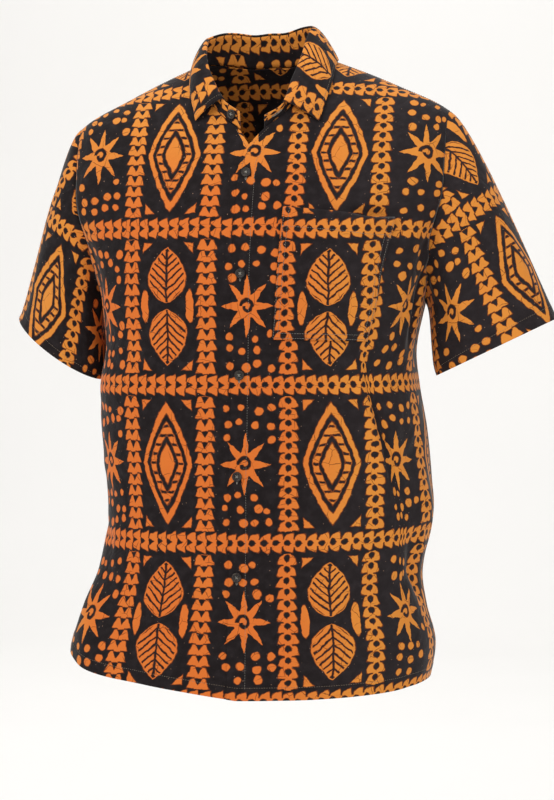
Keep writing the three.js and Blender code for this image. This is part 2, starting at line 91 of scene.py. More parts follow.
@dataclass(frozen=True)
class Table:
    """Rows of numbers under named columns, read as smooth curves."""

    names: tuple[str, ...]
    rows: tuple[tuple[float, ...], ...]

    def column(self, name: str) -> np.ndarray:
        """The numbers under one name."""
        place = self.names.index(name)
        return np.array([row[place] for row in self.rows], float)

    def read(self, key: str, name: str, at: np.ndarray | float) -> np.ndarray:
        """Reads a smooth curve through one column.

        Args:
            key: The column that the curve runs along, in rising order.
            name: The column that is read.
            at: Places on the key column; past its ends the end values hold.

        Returns:
            The values there, in the shape of at.
        """
        keys, values = self.column(key), self.column(name)
        count = len(keys)
        low = np.maximum(np.arange(count) - 1, 0)
        high = np.minimum(np.arange(count) + 1, count - 1)
        slopes = (values[high] - values[low]) / (keys[high] - keys[low])
        at = np.clip(np.asarray(at, float), keys[0], keys[-1])
        i = np.clip(np.searchsorted(keys, at, side="right") - 1, 0, count - 2)
        span = keys[i + 1] - keys[i]
        t = (at - keys[i]) / span
        rise = values[i + 1] - values[i]
        start, end = slopes[i] * span, slopes[i + 1] * span
        return values[i] + t * (start + t * (3 * rise - 2 * start - end + t * (start + end - 2 * rise)))


# Level lines round the body: reach to each side, depth to front and back, roundness
BODY = Table(
    ("level", "left", "right", "mid", "front", "back", "bend"),
    (
        (-755, 200, 243, -7, 146, 128, 2.4),
        (-700, 209, 234, -7, 143, 124, 2.4),
        (-655, 198, 216, -7, 141, 118, 2.45),
        (-613, 193, 196, -7, 139, 112, 2.5),
        (-545, 206, 188, -7, 137, 107, 2.5),
        (-500, 204, 190, -7, 137, 106, 2.5),
        (-440, 198, 196, -5, 139, 109, 2.5),
        (-390, 189, 197, -4, 140, 114, 2.55),
        (-345, 185, 190, -3, 140, 119, 2.6),
        (-290, 196, 196, -3, 140, 123, 2.6),
    ),
)

# How far the hem is lifted, by share of the way from the centre to the side seam
HEM_LIFT = Table(
    ("share", "left", "right"),
    ((0, 0, 0), (0.35, 3, 14), (0.65, 8, 26), (0.85, 13, 46), (1, 14, 53), (1.15, 12, 44)),
)

# The shoulder seam, by distance across the cloth from the centre
SHOULDER = Table(
    ("across", "x", "z"),
    (
        (0, 0, 14),
        (40, 40, 10),
        (78, 78, 0),
        (130, 128, -20),
        (180, 175, -42),
        (215, 206, -57),
        (245, 226, -70),
        (285, 256, -96),
    ),
)

# Roundness of the way up from the chest line over the shoulder
ARCH = Table(
    ("across", "front", "back"),
    ((0, 1.7, 2.4), (80, 1.75, 2.3), (170, 2.1, 2.3), (240, 2.9, 2.7), (280, 3, 3)),
)

# Edges of the upper panels, by rise from the chest line (0) to the shoulder seam (1)
ARMHOLE = Table(
    ("rise", "front", "back"),
    (
        (0, 280, 280),
        (0.045, 266, 268),
        (0.11, 247, 252),
        (0.22, 231, 239),
        (0.33, 228, 236),
        (0.43, 231, 237),
        (0.55, 237, 240),
        (0.75, 243, 243),
        (1, 245, 245),
    ),
)
FRONT_EDGE = Table(
    ("rise", "left", "right"),
    ((0.38, -10, 10), (0.43, -2, 3), (0.465, 7, -5), (0.5, 17, -12)),
)
FRONT_NECK = Table(
    ("rise", "left", "right"),
    (
        (0.5, 17, -12),
        (0.555, 36, -33),
        (0.63, 51, -50),
        (0.73, 63, -63),
        (0.86, 72, -72),
        (1, 78, -78),
    ),
)
BACK_NECK = Table(
    ("across", "rise"),
    ((0, 0.74), (26, 0.755), (52, 0.83), (68, 0.91), (78, 1)),
)

# Largest folds, as in the solids: from one point of the cloth, by distance across and level,
# to another, half width and height
FOLDS: dict[Side, CreaseRows] = {
    Side.FRONT: (
        (230, -170, 226, -345, 15, -7),
        (196, -160, 200, -345, 18, 3),
        (-228, -190, -216, -360, 16, -6),
        (178, -385, 190, -540, 15, 4),
        (205, -560, 262, -650, 14, -6),
        (225, -480, 275, -600, 18, 4),
        (-240, -560, -170, -760, 24, 6),
        (-150, -600, -110, -770, 20, -4),
        (60, -640, 70, -775, 24, 3),
    ),
    Side.BACK: (
        (210, -230, 150, -520, 18, -6),
        (-212, -240, -140, -560, 18, -6),
        (60, -380, 90, -770, 26, 6),
        (-70, -420, -60, -770, 28, 6),
        (5, -470, 10, -770, 22, -5),
        (-190, -520, -180, -770, 24, 5),
        (180, -560, 190, -770, 24, 5),
    ),
}

# Smaller creases of the worn cloth, in the same form as the folds
CREASES: dict[Side, CreaseRows] = {
    Side.FRONT: (
        (250, -205, 120, -285, 9, -1.6),
        (252, -225, 140, -330, 8, 1.5),
        (-250, -210, -120, -300, 9, -1.6),
        (-250, -235, -150, -350, 8, 1.4),
        (205, -330, 120, -400, 9, -1.3),
        (240, -380, 150, -470, 10, 1.6),
        (262, -430, 175, -500, 9, -1.8),
        (270, -520, 190, -560, 9, 1.6),
        (275, -590, 170, -640, 10, -1.8),
        (240, -620, 120, -700, 11, 1.6),
        (130, -560, 95, -740, 12, 1.5),
        (-255, -400, -160, -450, 10, -1.6),
        (-262, -470, -150, -520, 10, 1.7),
        (-265, -545, -165, -590, 10, -1.7),
        (-200, -560, -120, -680, 11, 1.5),
        (-70, -430, -95, -600, 13, 1.2),
        (40, -420, 75, -560, 13, -1.2),
        (-25, -160, -75, -250, 10, 1.4),
        (30, -170, 95, -235, 10, 1.1),
        (-60, -100, -150, -180, 12, -1.3),
        (100, -95, 175, -165, 12, -1.3),
        (-175, -90, -235, -190, 10, 1.3),
        (185, -95, 238, -180, 10, 1.2),
        (-14, -300, -60, -360, 9, -1.0),
        (118, -185, 186, -191, 5, -9.0),
        (138, -352, 178, -540, 6, 6.5),
        (149, -352, 189, -540, 5.5, -6.5),
        (247, -230, 237, -355, 6, -4.5),
        (233, -240, 214, -365, 7, 4.0),
        (252, -225, 188, -305, 6, 3.0),
        (215, -255, 196, -350, 6, -3.0),
        (-246, -235, -232, -350, 6, -4.0),
        (-232, -245, -205, -370, 7, 3.5),
        (205, -560, 262, -655, 6, -3.0),
        (215, -535, 268, -615, 6, 3.0),
        (14, -420, 60, -470, 9, -1.0),
        (-14, -540, -70, -610, 10, 1.1),
        (16, -655, 55, -770, 11, -1.3),
        (-40, -640, -60, -770, 12, -1.4),
        (200, -650, 210, -770, 12, -1.6),
        (-215, -640, -225, -770, 11, 1.5),
    ),
    Side.BACK: (
        (245, -215, 110, -300, 10, -1.8),
        (250, -245, 130, -370, 10, 1.7),
        (-246, -220, -110, -310, 10, -1.8),
        (-250, -250, -130, -380, 10, 1.7),
        (150, -100, 60, -190, 13, 1.4),
        (-150, -100, -60, -190, 13, 1.4),
        (110, -300, 60, -480, 14, 1.5),
        (-115, -310, -55, -490, 14, 1.5),
        (262, -420, 120, -480, 11, -1.8),
        (-262, -430, -120, -500, 11, -1.8),
        (265, -520, 140, -575, 11, 1.7),
        (-265, -535, -140, -600, 11, 1.7),
        (120, -560, 135, -770, 13, -1.7),
        (-120, -560, -125, -770, 13, -1.7),
        (30, -300, 15, -470, 12, -1.2),
        (230, -620, 240, -770, 12, -1.6),
        (-235, -620, -240, -770, 12, -1.6),
    ),
}


def mix(a: np.ndarray | float, b: np.ndarray | float, t: np.ndarray | float) -> np.ndarray | float:
    """The value a share t of the way from a to b."""
    return a + (b - a) * t


def ease(low: float, high: float, value: np.ndarray | float) -> np.ndarray:
    """A smooth step from 0 at low to 1 at high."""
    t = np.clip((np.asarray(value, float) - low) / (high - low), 0, 1)
    return t * t * (3 - 2 * t)


def unit(vectors: np.ndarray) -> np.ndarray:
    """The same vectors at length 1."""
    length = np.linalg.norm(vectors, axis=-1, keepdims=True)
    return vectors / np.maximum(length, 1e-9)


def distances(paths: np.ndarray) -> np.ndarray:
    """How far along its path each point lies.

    Args:
        paths: One path or several, with their points on the last axis but one.

    Returns:
        Distances from the start of each path.
    """
    steps = np.linalg.norm(np.diff(paths, axis=-2), axis=-1)
    start = np.zeros((*steps.shape[:-1], 1))
    return np.concatenate([start, np.cumsum(steps, axis=-1)], axis=-1)


def points_at(path: np.ndarray, shares: np.ndarray) -> np.ndarray:
    """Points at shares of the way along a path.

    Args:
        path: Points of the path.
        shares: 0 at its start and 1 at its end.

    Returns:
        One point for each share.
    """
    walk = distances(path)
    return np.stack([np.interp(shares * walk[-1], walk, path[:, k]) for k in range(3)], axis=-1)


def crease_height(rows: CreaseRows, across: np.ndarray, level: np.ndarray) -> np.ndarray:
    """Adds up soft ridges and troughs.

    Args:
        rows: Folds or creases, as FOLDS lists them.
        across: Distance across the cloth from the centre.
        level: Height on the body.

    Returns:
        How far the cloth stands out there.
    """
    height = np.zeros(np.broadcast(across, level).shape)
    for from_across, from_level, to_across, to_level, width, tall in rows:
        run = (to_across - from_across, to_level - from_level)
        offset = (across - from_across, level - from_level)
        length = math.hypot(*run)
        along = (offset[0] * run[0] + offset[1] * run[1]) / length**2
        aside = (offset[0] * run[1] - offset[1] * run[0]) / length
        bow = np.sin(np.pi * np.clip(along, 0, 1))
        height += tall * bow * np.exp(-((aside / width) ** 2))
    return height


@dataclass(frozen=True)
class WornCloth:
    """The form that the body panels take on the wearer."""

    push: float = 8.0
    push_from: float = 150.0
    push_full: float = 230.0
    lap_rise: float = 2.2
    lap_full: float = 22.0
    lap_none: float = 60.0

    def body_line(self, side: Side, level: np.ndarray, share: np.ndarray) -> np.ndarray:
        """Points on level lines round the body.

        Args:
            side: Front or back of the body.
            level: Height of each line.
            share: Signed share of the way along the line to the side seam.

        Returns:
            One point for each level and share.
        """
        level, share = np.broadcast_arrays(level, share)
        shape = level.shape
        level, share = level.ravel(), share.ravel()
        sign = np.where(share < 0, -1.0, 1.0)
        mid = BODY.read("level", "mid", level)
        side_reach = np.where(
            share < 0, BODY.read("level", "right", level), BODY.read("level", "left", level)
        )
        reach = (side_reach - sign * mid)[:, None]
        depth = BODY.read("level", side.value, level)[:, None]
        bend = BODY.read("level", "bend", level)[:, None]
        angle = np.linspace(0, np.pi / 2, RING_STEPS + 1)[None, :]
        across, ahead = np.sin(angle), np.cos(angle)
        radius = ((across / reach) ** bend + (ahead / depth) ** bend) ** (-1 / bend)
        xs, ys = radius * across, radius * ahead
        steps = np.hypot(np.diff(xs, axis=1), np.diff(ys, axis=1))
        walk = np.concatenate([np.zeros((len(level), 1)), np.cumsum(steps, axis=1)], axis=1)
        wanted = np.abs(share) * walk[:, -1]
        i = np.clip((walk < wanted[:, None]).sum(axis=1), 1, RING_STEPS)
        row = np.arange(len(level))
        t = (wanted - walk[row, i - 1]) / (walk[row, i] - walk[row, i - 1])
        x = mix(xs[row, i - 1], xs[row, i], t)
        y = mix(ys[row, i - 1], ys[row, i], t)
        ahead_sign = -1.0 if side is Side.FRONT else 1.0
        return np.stack([mid + sign * x, ahead_sign * y, level], axis=-1).reshape(*shape, 3)

    def smooth(self, side: Side, across: np.ndarray, rise: np.ndarray) -> np.ndarray:
        """Cloth without folds.

        Args:
            side: Front or back of the body.
            across: Distance across the cloth from the centre.
            rise: -1 at the hem, 0 on the chest line and 1 on the shoulder seam.

        Returns:
            One point for each pair.
        """
        across, rise = np.broadcast_arrays(np.asarray(across, float), np.asarray(rise, float))
        share = across / HALF_PANEL
        lift = np.where(
            share < 0,
            HEM_LIFT.read("share", "right", np.abs(share)),
            HEM_LIFT.read("share", "left", np.abs(share)),
        )
        fall = np.clip(-rise, 0, 1)
        base = self.body_line(side, mix(CHEST_LEVEL, HEM_LEVEL + lift, fall), share)
        far, sign = np.abs(across), np.sign(across)
        top_x = sign * SHOULDER.read("across", "x", far)
        top_z = SHOULDER.read("across", "z", far) + SHOULDER_TILT * top_x
        bend = ARCH.read("across", side.value, far)
        angle = np.clip(rise, 0, 1) * (np.pi / 2)
        sine, cosine = np.sin(angle), np.maximum(np.cos(angle), 0)
        radius = (sine**bend + cosine**bend) ** (-1 / bend)
        up, out = np.minimum(radius * sine, 1), np.maximum(radius * cosine, 0)
        push = self.push * np.sin(np.pi * up) * ease(self.push_from, self.push_full, far)
        upper = np.stack(
            [
                mix(base[..., 0], top_x, ease(0, 0.65, up)) + sign * push,
                mix(SHOULDER_SEAM_Y, base[..., 1], out),
                mix(CHEST_LEVEL, top_z, up),
            ],
            axis=-1,
        )
        return np.where((rise > 0)[..., None], upper, base)

    def point(
        self, side: Side, across: np.ndarray, rise: np.ndarray, out: np.ndarray | float = 0.0
    ) -> np.ndarray:
        """Cloth with folds and creases, moved out along its own normal.

        Args:
            side: Front or back of the body.
            across: Distance across the cloth from the centre.
            rise: -1 at the hem, 0 on the chest line and 1 on the shoulder seam.
            out: How far the points stand off the cloth.

        Returns:
            One point for each pair.
        """
        across, rise = np.broadcast_arrays(np.asarray(across, float), np.asarray(rise, float))
        step = np.where(rise > 0.99, -0.004, 0.004)
        here = self.smooth(side, across, rise)
        aside = self.smooth(side, across + 1, rise) - here
        above = self.smooth(side, across, rise + step) - here
        normal = unit(np.cross(aside, above))
        outward = 1.0 if side is Side.FRONT else -1.0
        flip = (normal[..., 1] * outward > 0) | ((rise > 0.9) & (normal[..., 2] < 0))
        normal = np.where(flip[..., None], -normal, normal)
        folds = crease_height(FOLDS[side], across, here[..., 2])
        calm = 1 - ease(0.86, 0.97, rise)
        near_seam = 1 - ease(HALF_PANEL - 14, HALF_PANEL, np.abs(across))
        creases = crease_height(CREASES[side], across, here[..., 2]) * calm * near_seam
        return here + normal * (folds + creases + out)[..., None]

    def lap(self, hand: Hand, across: np.ndarray) -> np.ndarray:
        """How far the front laps out over the other one near the centre.

        Args:
            hand: Which front.
            across: Distance across the cloth from the centre.

        Returns:
            One distance for each place, all zero on the right.
        """
        if hand is Hand.RIGHT:
            return np.zeros(np.shape(across))
        return self.lap_rise * (1 - ease(self.lap_full, self.lap_none, across))

    def rise_at(self, side: Side, across: np.ndarray, level: np.ndarray) -> np.ndarray:
        """Rise of the cloth at a level, found by halving.

        Args:
            side: Front or back of the body.
            across: Distance across the cloth from the centre.
            level: Height on the body.

        Returns:
            -1 at the hem, 0 on the chest line and 1 on the shoulder seam.
        """
        across, level = np.broadcast_arrays(np.asarray(across, float), np.asarray(level, float))
        low, high = np.full(level.shape, -1.0), np.full(level.shape, 1.0)
        for _ in range(24):
            middle = (low + high) / 2
            below = self.smooth(side, across, middle)[..., 2] < level
            low, high = np.where(below, middle, low), np.where(below, high, middle)
        return (low + high) / 2

    def cut_height(self, side: Side, across: np.ndarray, rise: np.ndarray) -> np.ndarray:
        """Height on the flat cut, measured along the cloth above the chest line.

        Args:
            side: Front or back of the body.
            across: Distance across the cloth from the centre.
            rise: -1 at the hem, 0 on the chest line and 1 on the shoulder seam.

        Returns:
            Heights that equal the level up to the chest line, less what the left side is drawn up.
        """
        lines, stops = np.linspace(-285, 285, 39), np.linspace(0, 1, 61)
        walk = distances(self.smooth(side, lines[:, None], stops[None, :]))
        a = np.clip((across - lines[0]) / (lines[1] - lines[0]), 0, len(lines) - 1.001)
        b = np.clip(rise / (stops[1] - stops[0]), 0, len(stops) - 1.001)
        i, j = a.astype(int), b.astype(int)
        upper = mix(
            mix(walk[i, j], walk[i + 1, j], a - i),
            mix(walk[i, j + 1], walk[i + 1, j + 1], a - i),
            b - j,
        )
        share = np.clip(across / HALF_PANEL, 0, 1)
        drawn = HEM_LIFT.read("share", "left", share) * np.clip(-rise, 0, 1)
        return np.where(rise > 0, CHEST_LEVEL + upper, self.smooth(side, across, rise)[..., 2] - drawn)


FORM = WornCloth()


@dataclass
class Shell:
    """A closed sheet of cloth laid out as columns and rows of points, in millimetres."""

    points: np.ndarray
    cut: np.ndarray
    thick: np.ndarray
    is_round: bool = False

    def normals(self) -> np.ndarray:
        """Normals of the middle surface.

        Returns:
            One for each point.
        """
        p = self.points
        if self.is_round:
            aside = np.roll(p, -1, axis=0) - np.roll(p, 1, axis=0)
        else:
            aside = np.concatenate([p[1:], p[-1:]]) - np.concatenate([p[:1], p[:-1]])
        above = np.concatenate([p[:, 1:], p[:, -1:]], axis=1)
        above = above - np.concatenate([p[:, :1], p[:, :-1]], axis=1)
        return unit(np.cross(aside, above))

    def turned_out(self, inside: np.ndarray) -> "Shell":
        """The same sheet with its columns in the order that makes its normals point away.

        Args:
            inside: A point inside the garment, or one for each grid point.

        Returns:
            This sheet, or one with its columns reversed.
        """
        if np.sum(self.normals() * (self.points - inside)) > 0:
            return self
        order = np.arange(len(self.points))[::-1]
        if self.is_round:
            order = np.roll(order, 1)
        return Shell(self.points[order], self.cut[::-1], self.thick[order], self.is_round)

    def surface(self, out: float = 0.0) -> np.ndarray:
        """Points of the outer surface, moved out by a further distance."""
        return self.points + self.normals() * (self.thick / 2 + out)[..., None]

    def mesh(self, name: str) -> bpy.types.Mesh:
        """Makes the closed shell, with its flat cut as the UV map Cut in metres.

        Args:
            name: Name of the mesh.

        Returns:
            A smooth mesh in metres.
        """
        columns, rows = self.points.shape[:2]
        offset = self.normals() * (self.thick / 2)[..., None]
        places = np.stack([self.points + offset, self.points - offset]).reshape(-1, 3)
        far, last = columns * rows, columns if self.is_round else columns - 1
        i, j = np.meshgrid(np.arange(last), np.arange(rows - 1), indexing="ij")
        i, j = i.ravel(), j.ravel()
        n = (i + 1) % columns
        outer = np.stack([i * rows + j, n * rows + j, n * rows + j + 1, i * rows + j + 1], axis=1)
        flat = (i * rows + j)[:, None] + np.array([0, rows, rows + 1, 1])
        faces, spots = [outer, outer[:, ::-1] + far], [flat, flat[:, ::-1]]
        k = np.arange(last)
        m = (k + 1) % columns
        for row, turn in ((0, 1), (rows - 1, -1)):
            edge = np.stack([k, m, m, k], axis=1) * rows + row + np.array([far, far, 0, 0])
            place = np.stack([k, k + 1, k + 1, k], axis=1) * rows + row
            faces.append(edge[:, ::turn])
            spots.append(place[:, ::turn])
        if not self.is_round:
            k = np.arange(rows - 1)
            for start, turn in ((0, 1), ((columns - 1) * rows, -1)):
                place = (start + k)[:, None] + np.array([0, 1, 1, 0])
                faces.append((place + np.array([0, 0, far, far]))[:, ::turn])
                spots.append(place[:, ::turn])
        corners, spots = np.concatenate(faces), np.concatenate(spots)
        mesh = bpy.data.meshes.new(name)
        mesh.from_pydata((places * MM).tolist(), [], corners.tolist())
        layer = mesh.uv_layers.new(name="Cut")
        cut = (self.cut.reshape(-1, 2) * MM)[spots.ravel()]
        layer.data.foreach_set("uv", cut.astype(np.float32).ravel())
        mesh.polygons.foreach_set("use_smooth", np.ones(len(mesh.polygons), bool))
        mesh.update()
        return mesh


def drawn_back(points: np.ndarray, index: int, inner: int, amount: float) -> None:
    """Draws one column of seam points back towards its neighbours, in place.

    Args:
        points: Columns and rows of points.
        index: The column at the seam.
        inner: The column beside it.
        amount: How far it moves.
    """
    points[index] += unit(points[inner] - points[index]) * amount


def tube(path: np.ndarray, radius: float, sides: int = 6) -> tuple[np.ndarray, list[tuple[int, ...]]]:
    """A closed round of thread or cord along a closed path.

    Args:
        path: Points of the loop.
        radius: Half thickness.
        sides: Number of faces round it.

    Returns:
        Its points and faces.
    """
    along = unit(np.roll(path, -1, axis=0) - np.roll(path, 1, axis=0))
    normal = unit(np.cross(path - path.mean(axis=0), along))
    aside = np.cross(along, normal)
    angle = np.linspace(0, 2 * np.pi, sides, endpoint=False)
    ring = np.cos(angle)[None, :, None] * normal[:, None] + np.sin(angle)[None, :, None] * aside[:, None]
    places = (path[:, None] + radius * ring).reshape(-1, 3)
    count = len(path)
    faces = [
        (
            i * sides + j,
            i * sides + (j + 1) % sides,
            (i + 1) % count * sides + (j + 1) % sides,
            (i + 1) % count * sides + j,
        )
        for i in range(count)
        for j in range(sides)
    ]
    return places, faces


def new_object(name: str, mesh: bpy.types.Mesh, material: bpy.types.Material) -> bpy.types.Object:
    """Adds a mesh to the scene with one material.

    Args:
        name: Name of the piece.
        mesh: Its mesh, in metres and in place.
        material: Its finish.

    Returns:
        The new object.
    """
    mesh.materials.clear()
    mesh.materials.append(material)
    obj = bpy.data.objects.new(name, mesh)
    bpy.context.scene.collection.objects.link(obj)
    return obj


def outward(mesh: bpy.types.Mesh) -> bpy.types.Mesh:
    """Merges doubles and turns the faces of a closed mesh outward.

    Args:
        mesh: The mesh, changed in place.

    Returns:
        The same mesh.
    """
    work = bmesh.new()
    work.from_mesh(mesh)
    bmesh.ops.remove_doubles(work, verts=work.verts, dist=1e-6)
    bmesh.ops.recalc_face_normals(work, faces=work.faces)
    work.to_mesh(mesh)
    work.free()
    return mesh


def add_node(
    tree: bpy.types.NodeTree, kind: str, settings: dict | None = None, inputs: dict | None = None
) -> bpy.types.Node:
    """Adds a node with its settings and links.

    Args:
        tree: The tree that it goes into.
        kind: Blender's name for the node.
        settings: Properties of the node.
        inputs: Sockets or plain values for its inputs, by name or number.

    Returns:
        The new node.
    """
    node = tree.nodes.new(kind)
    for name, value in (settings or {}).items():
        setattr(node, name, value)
    for key, value in (inputs or {}).items():
        if isinstance(value, Signal):
            value = value.socket
        if isinstance(value, bpy.types.NodeSocket):
            tree.links.new(value, node.inputs[key])
        else:
            node.inputs[key].default_value = value
    return node


@dataclass(frozen=True)
class Signal:
    """A number or vector that varies over a surface, worked out by math nodes."""

    tree: bpy.types.NodeTree
    socket: bpy.types.NodeSocket

    def math(
        self, operation: str, *others: "Signal | float | tuple", kind: str = "ShaderNodeMath"
    ) -> "Signal":
        """The result of a math node on this number or vector and others.

        Args:
            operation: Blender's name for the operation.
            others: Its further inputs.
            kind: Blender's name for the node.

        Returns:
            The new number or vector.
        """
        inputs = {0: self.socket, **{i + 1: other for i, other in enumerate(others)}}
        node = add_node(self.tree, kind, {"operation": operation}, inputs)
        return Signal(self.tree, node.outputs[0])

    def vector(self, operation: str, *others: "Signal | tuple") -> "Signal":
        """The result of a vector math node on this vector and others."""
        return self.math(operation, *others, kind="ShaderNodeVectorMath")

    def parts(self) -> list["Signal"]:
        """The three parts of a vector."""
        node = add_node(self.tree, "ShaderNodeSeparateXYZ", None, {0: self})
        return [Signal(self.tree, output) for output in node.outputs]

    def __add__(self, other: "Signal | float") -> "Signal":
        """Sum."""
        return self.math("ADD", other)

    def __sub__(self, other: "Signal | float") -> "Signal":
        """Difference."""
        return self.math("SUBTRACT", other)

    def __mul__(self, other: "Signal | float") -> "Signal":
        """Product."""
        return self.math("MULTIPLY", other)

    def under(self, other: "Signal | float") -> "Signal":
        """1 where this is less than the other."""
        return self.math("LESS_THAN", other)

    def over(self, other: "Signal | float") -> "Signal":
        """1 where this is more than the other."""
        return self.math("GREATER_THAN", other)

    def least(self, other: "Signal | float") -> "Signal":
        """The smaller of two."""
        return self.math("MINIMUM", other)

    def most(self, other: "Signal | float") -> "Signal":
        """The larger of two."""
        return self.math("MAXIMUM", other)

    def size(self) -> "Signal":
        """Its distance from zero."""
        return self.math("ABSOLUTE")

    def from_number(self, value: float) -> "Signal":
        """A plain number less this one."""
        return self.math("MULTIPLY_ADD", -1.0, value)

    def wrapped(self, half: float) -> "Signal":
        """Wrapped into the span from -half to half."""
        return self.math("WRAP", half, -half)

    def odd(self, start: float, pitch: float) -> "Signal":
        """1 in every second span of a pitch, counted from a start."""
        share = (self * (1 / pitch)).math("ADD", -start / pitch)
        return share.math("FLOOR").math("FLOORED_MODULO", 2.0)

    def chosen(self, off: "Signal | float", on: "Signal | float") -> "Signal":
        """off where this is 0 and on where it is 1."""
        node = add_node(self.tree, "ShaderNodeMix", {"data_type": "FLOAT"}, {0: self, 2: off, 3: on})
        return Signal(self.tree, node.outputs[0])

    def blended(
        self, off: "Colour | bpy.types.NodeSocket", on: "Colour | bpy.types.NodeSocket"
    ) -> bpy.types.NodeSocket:
        """The colour off where this is 0 and on where it is 1."""
        node = add_node(self.tree, "ShaderNodeMix", {"data_type": "RGBA"}, {0: self, 6: off, 7: on})
        return node.outputs[2]

    def smooth(self, low: float, high: float) -> "Signal":
        """A soft step from 0 at low to 1 at high.

        Args:
            low: Where the step starts.
            high: Where it ends; it may lie below low.

        Returns:
            The step.
        """
        node = add_node(
            self.tree,
            "ShaderNodeMapRange",
            {"interpolation_type": "SMOOTHSTEP"},
            {"Value": self, "From Min": low, "From Max": high},
        )
        return Signal(self.tree, node.outputs[0])


def linear(colour: str, share: float = 1.0) -> Colour:
    """Turns an sRGB hex colour into linear light.

    Args:
        colour: Six hex digits after a hash sign.
        share: How much of its light is kept.

    Returns:
        Red, green, blue and an alpha of 1.
    """
    shades = [int(colour[i : i + 2], 16) / 255 for i in (1, 3, 5)]
    light = [s / 12.92 if s <= 0.04045 else ((s + 0.055) / 1.055) ** 2.4 for s in shades]
    return (*(share * part for part in light), 1.0)


def new_material(name: str, roughness: float) -> tuple[bpy.types.Material, bpy.types.Node]:
    """Starts a material.

    Args:
        name: Name of the real material.
        roughness: Roughness that is the same all over.

    Returns:
        The material and its shader node.
    """
    material = bpy.data.materials.new(name)
    material.use_nodes = True
    tree = material.node_tree
    tree.nodes.clear()
    shader = add_node(tree, "ShaderNodeBsdfPrincipled", None, {"Roughness": roughness})
    add_node(tree, "ShaderNodeOutputMaterial", None, {"Surface": shader.outputs[0]})
    return material, shader


